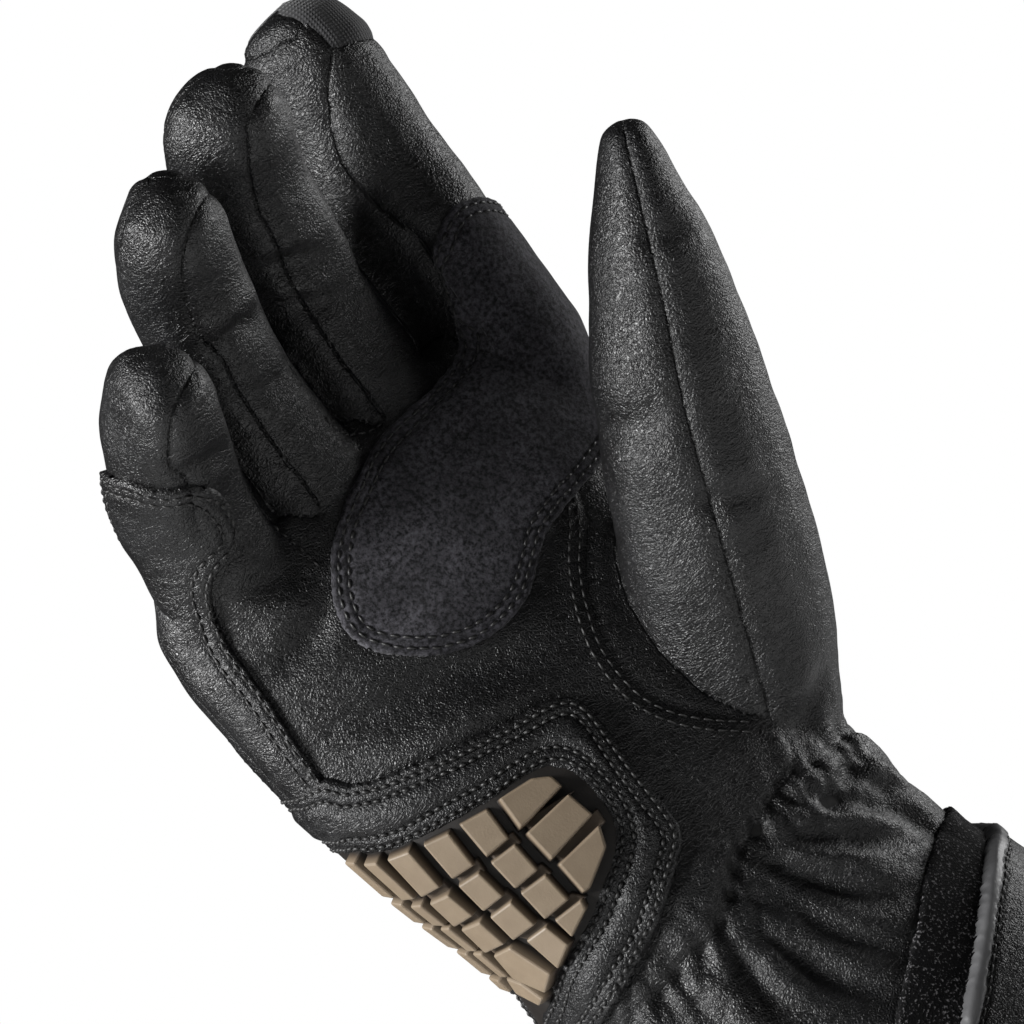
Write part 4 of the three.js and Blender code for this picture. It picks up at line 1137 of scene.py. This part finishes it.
# The slider
# One moulding of tan rubber: a base plate with bevelled blocks, in rows across the heel of the hand. The grooves
# between columns are deep and wide, those between rows narrow. Each outline is a block's top, in millimetres
# across the plane that faces the little finger's side and up the hand.
SLIDER_TURN = (0.6, -0.8)  # the way across that plane, in x and y
SLIDER_OUT = Vector((-0.8, -0.6, 0))
SLIDER_COLUMNS = [
    [
        [(-31.2, 115.3), (-28.4, 114.3), (-28.2, 104.9), (-31.0, 106.3)],
        [(-30.8, 103.7), (-28.0, 102.5), (-27.8, 97.3), (-30.6, 98.5)],
        [(-30.6, 96.3), (-27.6, 95.1), (-27.2, 89.3), (-30.2, 90.5)],
        [(-30.0, 88.3), (-27.0, 87.1), (-26.4, 81.3), (-29.6, 82.5)],
        [(-29.2, 80.5), (-26.4, 79.3), (-26.2, 76.5), (-29.0, 77.7)],
    ],
    [
        [(-26.9, 112.9), (-23.9, 111.7), (-23.9, 102.4), (-26.7, 103.5)],
        [(-26.5, 100.9), (-23.8, 100.1), (-23.7, 94.7), (-26.3, 95.9)],
        [(-26.0, 93.9), (-23.5, 93.2), (-23.2, 87.1), (-25.6, 87.9)],
        [(-25.3, 86.3), (-23.1, 85.4), (-22.6, 79.4), (-24.7, 80.2)],
        [(-24.2, 78.8), (-21.2, 76.3), (-18.5, 72.1), (-21.1, 71.5), (-24.5, 75.3)],
    ],
    [
        [(-21.4, 110.9), (-16.8, 109.7), (-17.2, 101.3), (-21.6, 101.9)],
        [(-21.6, 99.3), (-17.0, 98.6), (-16.6, 93.1), (-21.6, 93.4)],
        [(-21.4, 91.5), (-16.4, 90.8), (-16.2, 85.1), (-21.4, 85.7)],
        [(-21.1, 83.7), (-16.1, 83.2), (-12.3, 75.3), (-17.2, 72.9), (-21.1, 78.3)],
    ],
    [
        [(-13.5, 108.9), (-8.9, 107.7), (-9.1, 100.7), (-13.5, 101.1)],
        [(-13.7, 98.7), (-9.3, 98.3), (-8.9, 92.6), (-13.5, 92.6)],
        [(-13.5, 90.3), (-8.5, 90.2), (-8.1, 84.6), (-13.3, 84.7)],
        [(-11.4, 82.5), (-6.7, 82.4), (-5.6, 77.7), (-10.2, 75.3)],
    ],
    [
        [(-6.0, 107.7), (-1.4, 106.7), (-1.4, 100.6), (-5.8, 100.5)],
        [(-5.9, 98.4), (-1.2, 98.3), (-0.9, 92.5), (-5.6, 92.4)],
        [(-5.4, 90.4), (-0.4, 90.2), (-0.1, 84.5), (-5.2, 84.3)],
        [(-3.8, 82.5), (1.6, 82.5), (1.1, 80.8), (-3.5, 78.5)],
    ],
    [
        [(1.6, 106.9), (6.9, 106.0), (9.2, 104.4), (9.7, 101.9), (3.1, 100.8), (1.6, 100.6)],
        [(2.0, 98.7), (9.9, 99.5), (11.0, 94.1), (2.5, 92.4)],
        [(3.0, 90.3), (11.0, 91.3), (9.8, 87.5), (4.6, 83.9), (3.2, 83.9)],
    ],
]
BLOCK_HIGH = 4.3 * MM
BRIDGE_HIGH = 2.7 * MM  # between the blocks of a column
BLOCK_FOOT = 0.5 * MM
BLOCK_FLARE = 1.1 * MM
BLOCK_GROW = 0.4 * MM
BLOCK_BEVEL = 0.38 * MM
PLATE_HIGH = 1.5 * MM


def rubber_material():
    made, wire, shader = new_material("tan_rubber", (0.23, 0.18, 0.13), 0.55)
    place = wire.place()
    cloud = wire.node("ShaderNodeTexNoise", Vector=place, Scale=260.0, Detail=4.0).outputs["Fac"]
    fine = wire.node("ShaderNodeTexNoise", Vector=place, Scale=2400.0, Detail=2.0).outputs["Fac"]
    tan = wire.mix(cloud, (0.135, 0.1, 0.065, 1), (0.195, 0.151, 0.103, 1))
    # The rubber's colour is painted darker low on the blocks and near-black at the plate: painted shade in the grooves
    # between the blocks, by height above the plate.
    rise = wire.value_of("rise")
    low = wire.mix(wire.ramp(rise, 1.5, 2.8), (0.006, 0.0042, 0.003, 1), (0.045, 0.031, 0.02, 1))
    wire.tree.links.new(wire.mix(wire.ramp(rise, 2.2, 4.2), low, tan), shader.inputs["Base Color"])
    bump = wire.node("ShaderNodeBump", Height=fine, Distance=0.00006, Strength=0.5)
    wire.tree.links.new(bump.outputs[0], shader.inputs["Normal"])
    return made


RUBBER = rubber_material()
base_points = skin_before_folds
base_tree = BVHTree.FromPolygons(base_points.tolist(), skin.faces.tolist())


def slider_place(across, up):
    """Where a place on the slider's plane lies on the hand, and the hand's direction there."""
    far = Vector((across * SLIDER_TURN[0] * MM, across * SLIDER_TURN[1] * MM, up * MM)) + SLIDER_OUT * 0.2
    place, normal, _, _ = base_tree.ray_cast(far, -SLIDER_OUT)
    return place, normal


def slider_block(outline, high):
    """A block whose top, this high above the hand, has the given outline."""
    count = len(outline)
    out = sum((slider_place(*corner)[1] for corner in outline), Vector()).normalized()
    lean = (out.x * SLIDER_TURN[0] + out.y * SLIDER_TURN[1], out.z)
    feet = [(across - lean[0] * high / MM, up - lean[1] * high / MM) for across, up in outline]
    centre, _ = slider_place(*(sum(values) / count for values in zip(*feet)))
    corners = [slider_place(*corner) for corner in feet]
    block = bmesh.new()
    for place, _ in corners:
        flat = place - out * (place - centre).dot(out)
        apart = (flat - centre).normalized()
        block.verts.new(flat + out * high + apart * BLOCK_GROW)
        block.verts.new(flat + out * BLOCK_FOOT + apart * BLOCK_FLARE)
    bmesh.ops.convex_hull(block, input=block.verts)
    bmesh.ops.dissolve_limit(block, angle_limit=math.radians(4), verts=block.verts, edges=block.edges)
    block.normal_update()
    upper = [edge for edge in block.edges if max((v.co - centre).dot(out) for v in edge.verts) > 2 * BLOCK_FOOT]
    bmesh.ops.bevel(block, geom=upper, offset=BLOCK_BEVEL, segments=2, profile=0.5, affect="EDGES", clamp_overlap=True)
    bmesh.ops.recalc_face_normals(block, faces=block.faces)
    rise = block.verts.layers.float.new("rise")
    for vertex in block.verts:
        vertex[rise] = (vertex.co - centre).dot(out) / MM
    return block


blocks = bpy.data.meshes.new("palm_slider_blocks")
gathered = bmesh.new()
gathered.verts.layers.float.new("rise")
for column in SLIDER_COLUMNS:
    pieces = [(outline, BLOCK_HIGH) for outline in column]
    for upper, lower in zip(column[:-1], column[1:]):
        foot = sorted(sorted(upper, key=lambda corner: corner[1])[:2])
        head = sorted(sorted(lower, key=lambda corner: -corner[1])[:2])
        pieces.append(([*foot, *reversed(head)], BRIDGE_HIGH))
    for outline, high in pieces:
        block = slider_block(outline, high)
        one = bpy.data.meshes.new("one_block")
        block.to_mesh(one)
        block.free()
        gathered.from_mesh(one)
        bpy.data.meshes.remove(one)
gathered.to_mesh(blocks)
gathered.free()
blocks.materials.append(RUBBER)
block_piece = bpy.data.objects.new("palm_slider_blocks", blocks)
bpy.context.scene.collection.objects.link(block_piece)
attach(block_piece, "root")
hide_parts("palm_slider")

plate = border_split(flat_skin, "palm_slider", -1.3 * MM)
plate.points = plate.points + plate.normals() * PLATE_HIGH
# At this rise the plate takes the near-black painted shade of the grooves' floor.
plate.fields["rise"] = np.full(len(plate.points), PLATE_HIGH)
show(plate, "palm_slider_plate", RUBBER, (), ("rise",))

# The cuff's hem
# The cuff's opening is bound with a folded strip of the same leather.
hem = remeshed(node_mesh("cuff_hem"), 0.8 * MM)
hem.points = hem.spread(hem.points, 6)
hem.fields["seam"] = np.full(len(hem.points), 9 * MM)
show(hem, "cuff_hem_skin", LEATHER, ("cuff_hem",), fields=("seam",))

# The fastening strip
# A band of black loop pile across the cuff, which the flap's hooks take hold of.
def pile_material():
    made, wire, shader = new_material("loop_pile", (0.008, 0.008, 0.009), 0.9)
    place = wire.place()
    pile = wire.node("ShaderNodeTexNoise", Vector=place, Scale=1800.0, Detail=2.0, Roughness=0.6).outputs["Fac"]
    # Bright flecks in the pile's colour are painted glints, where light would catch single loops.
    painted_glints = wire.ramp(pile, 0.56, 0.72)
    colour = wire.mix(painted_glints, (0.0012, 0.0012, 0.0014, 1), (0.16, 0.155, 0.16, 1))
    wire.tree.links.new(colour, shader.inputs["Base Color"])
    bump = wire.node("ShaderNodeBump", Height=pile, Distance=0.0005, Strength=0.8)
    shader.inputs["Specular IOR Level"].default_value = 0.15
    wire.tree.links.new(bump.outputs[0], shader.inputs["Normal"])
    return made


strip = cover_surface("fastening_strip", 1.7 * MM, 1.0 * MM)
show(strip, "fastening_strip_pile", pile_material(), ("fastening_strip",))

# The closure flap
# A leather tab from the cuff's back, bound at its edge with smooth grey tape, which lies over the strip.
BINDING_WIDE = 3.6 * MM
FLAP_EDGE = -BINDING_WIDE - 0.3 * MM  # the bound edge, on the flap's own field


def tape_material():
    made, wire, shader = new_material("binding_tape", (0.07, 0.07, 0.072), 0.42)
    place = wire.place()
    rib = wire.node("ShaderNodeTexNoise", Vector=place, Scale=1800.0, Detail=2.0).outputs["Fac"]
    tone = wire.node("ShaderNodeTexNoise", Vector=place, Scale=90.0, Detail=2.0).outputs["Fac"]
    wire.tree.links.new(wire.mix(tone, (0.045, 0.045, 0.047, 1), (0.11, 0.11, 0.112, 1)), shader.inputs["Base Color"])
    bump = wire.node("ShaderNodeBump", Height=rib, Distance=0.0001, Strength=0.5)
    wire.tree.links.new(bump.outputs[0], shader.inputs["Normal"])
    return made


flap = cover_surface("closure_flap", 4.2 * MM, 1.2 * MM, (2.2 * MM,), level=-1.2 * MM)
flap.fields["seam"] = np.full(len(flap.points), 9 * MM)
show(flap, "closure_flap_skin", LEATHER, ("closure_flap",), fields=("seam",))
stitch_row("flap_stitches", flap, contour(flap, flap.fields["closure_flap"], 1.0 * MM))
band = border_split(skin, "closure_flap", FLAP_EDGE)
band.fields["other_edge"] = -band.fields["closure_flap"]
band = border_split(band, "other_edge", 0.0).finer()
band.points = band.spread(band.points, 2)
across = band.fields["closure_flap"] - FLAP_EDGE
high = 5.2 * MM * rolled(across, 1.5 * MM) - 1.4 * MM * (1 - rolled(band.fields["other_edge"] + 0.2 * MM, 1.5 * MM))
band.points = band.points + band.normals() * (high - TUCK)[:, None]
show(band, "flap_binding_tape", tape_material(), ("flap_binding",))

# The inside
# The same leather's lining side shows only through the cuff's opening. It follows the skin one wall inside.
WALL = 2.0 * MM
inside = Surface(flat_skin.points, flat_skin.faces)
inside.points = inside.points - inside.spread(inside.normals(), 4) * WALL
inside.faces = inside.faces[:, ::-1]


def lining_material():
    made, wire, shader = new_material("leather_inside", (0.02, 0.019, 0.018), 0.9)
    nap = wire.node("ShaderNodeTexNoise", Vector=wire.place(), Scale=900.0, Detail=3.0).outputs["Fac"]
    wire.tree.links.new(wire.mix(nap, (0.012, 0.012, 0.012, 1), (0.03, 0.029, 0.028, 1)), shader.inputs["Base Color"])
    bump = wire.node("ShaderNodeBump", Height=nap, Distance=0.0002, Strength=0.6)
    wire.tree.links.new(bump.outputs[0], shader.inputs["Normal"])
    return made


LINING = lining_material()
CUFF_TOP = 75 * MM
low_part = inside.points[inside.faces][:, :, 2].mean(axis=1) < CUFF_TOP
show(inside.keep(low_part), "cuff_inner_side", LINING)
show(inside.keep(~low_part), "hand_inner_side", LINING)

# Floor, light and camera
# Nothing stands under the glove: it is held up in front of white. Two large soft boxes graze the leather from
# above the fingertips and from the thumb's side, and a weak one fills from the camera.
CAMERA_AT = (-0.280, -0.7695, 0.1321)
CAMERA_AIM = (0.0146, -0.0039, 0.1489)
CAMERA_ROLL = math.radians(-38.5)
LENS = 145.6


def aim(piece, target):
    direction = Vector(target) - piece.location
    piece.rotation_euler = direction.to_track_quat("-Z", "Y").to_euler()


camera = bpy.data.objects.new("camera", bpy.data.cameras.new("camera"))
bpy.context.scene.collection.objects.link(camera)
camera.location = CAMERA_AT
aim(camera, CAMERA_AIM)
camera.rotation_euler.rotate_axis("Z", CAMERA_ROLL)
camera.data.lens = LENS
camera.data.sensor_width = 36
bpy.context.scene.camera = camera

world = bpy.data.worlds.new("studio")
bpy.context.scene.world = world
world.use_nodes = True
backdrop = world.node_tree.nodes["Background"]
wire = Wiring(world.node_tree)
seen = wire.node("ShaderNodeLightPath").outputs["Is Camera Ray"]
world.node_tree.links.new(wire.ramp(seen, 0.0, 1.0, 0.014, 1.0), backdrop.inputs["Strength"])
backdrop.inputs["Color"].default_value = (1, 1, 1, 1)

SOFT_BOXES = [
    {"name": "tip_box", "at": (-0.88, -0.09, 0.67), "size": 0.4, "watts": 28},
    {"name": "thumb_box", "at": (0.86, 0.08, 0.12), "size": 0.5, "watts": 5.0},
    {"name": "camera_fill", "at": (-0.5, -0.9, 0.7), "size": 0.5, "watts": 1.1},
]
for row in SOFT_BOXES:
    lamp = bpy.data.objects.new(row["name"], bpy.data.lights.new(row["name"], "AREA"))
    bpy.context.scene.collection.objects.link(lamp)
    lamp.location = row["at"]
    aim(lamp, (0, -0.01, 0.15))
    lamp.data.size = row["size"]
    lamp.data.energy = row["watts"]

FLOOR_LEVEL = -0.35
floor_mesh = bpy.data.meshes.new("floor")
floor_form = bmesh.new()
bmesh.ops.create_circle(floor_form, cap_ends=True, radius=2.0, segments=96)
floor_form.to_mesh(floor_mesh)
floor_form.free()
floor = bpy.data.objects.new("floor", floor_mesh)
floor.location.z = FLOOR_LEVEL
bpy.context.scene.collection.objects.link(floor)
pale, _, _ = new_material("pale_floor", (0.85, 0.85, 0.85), 0.7)
floor_mesh.materials.append(pale)
bpy.context.scene.view_settings.view_transform = "Standard"
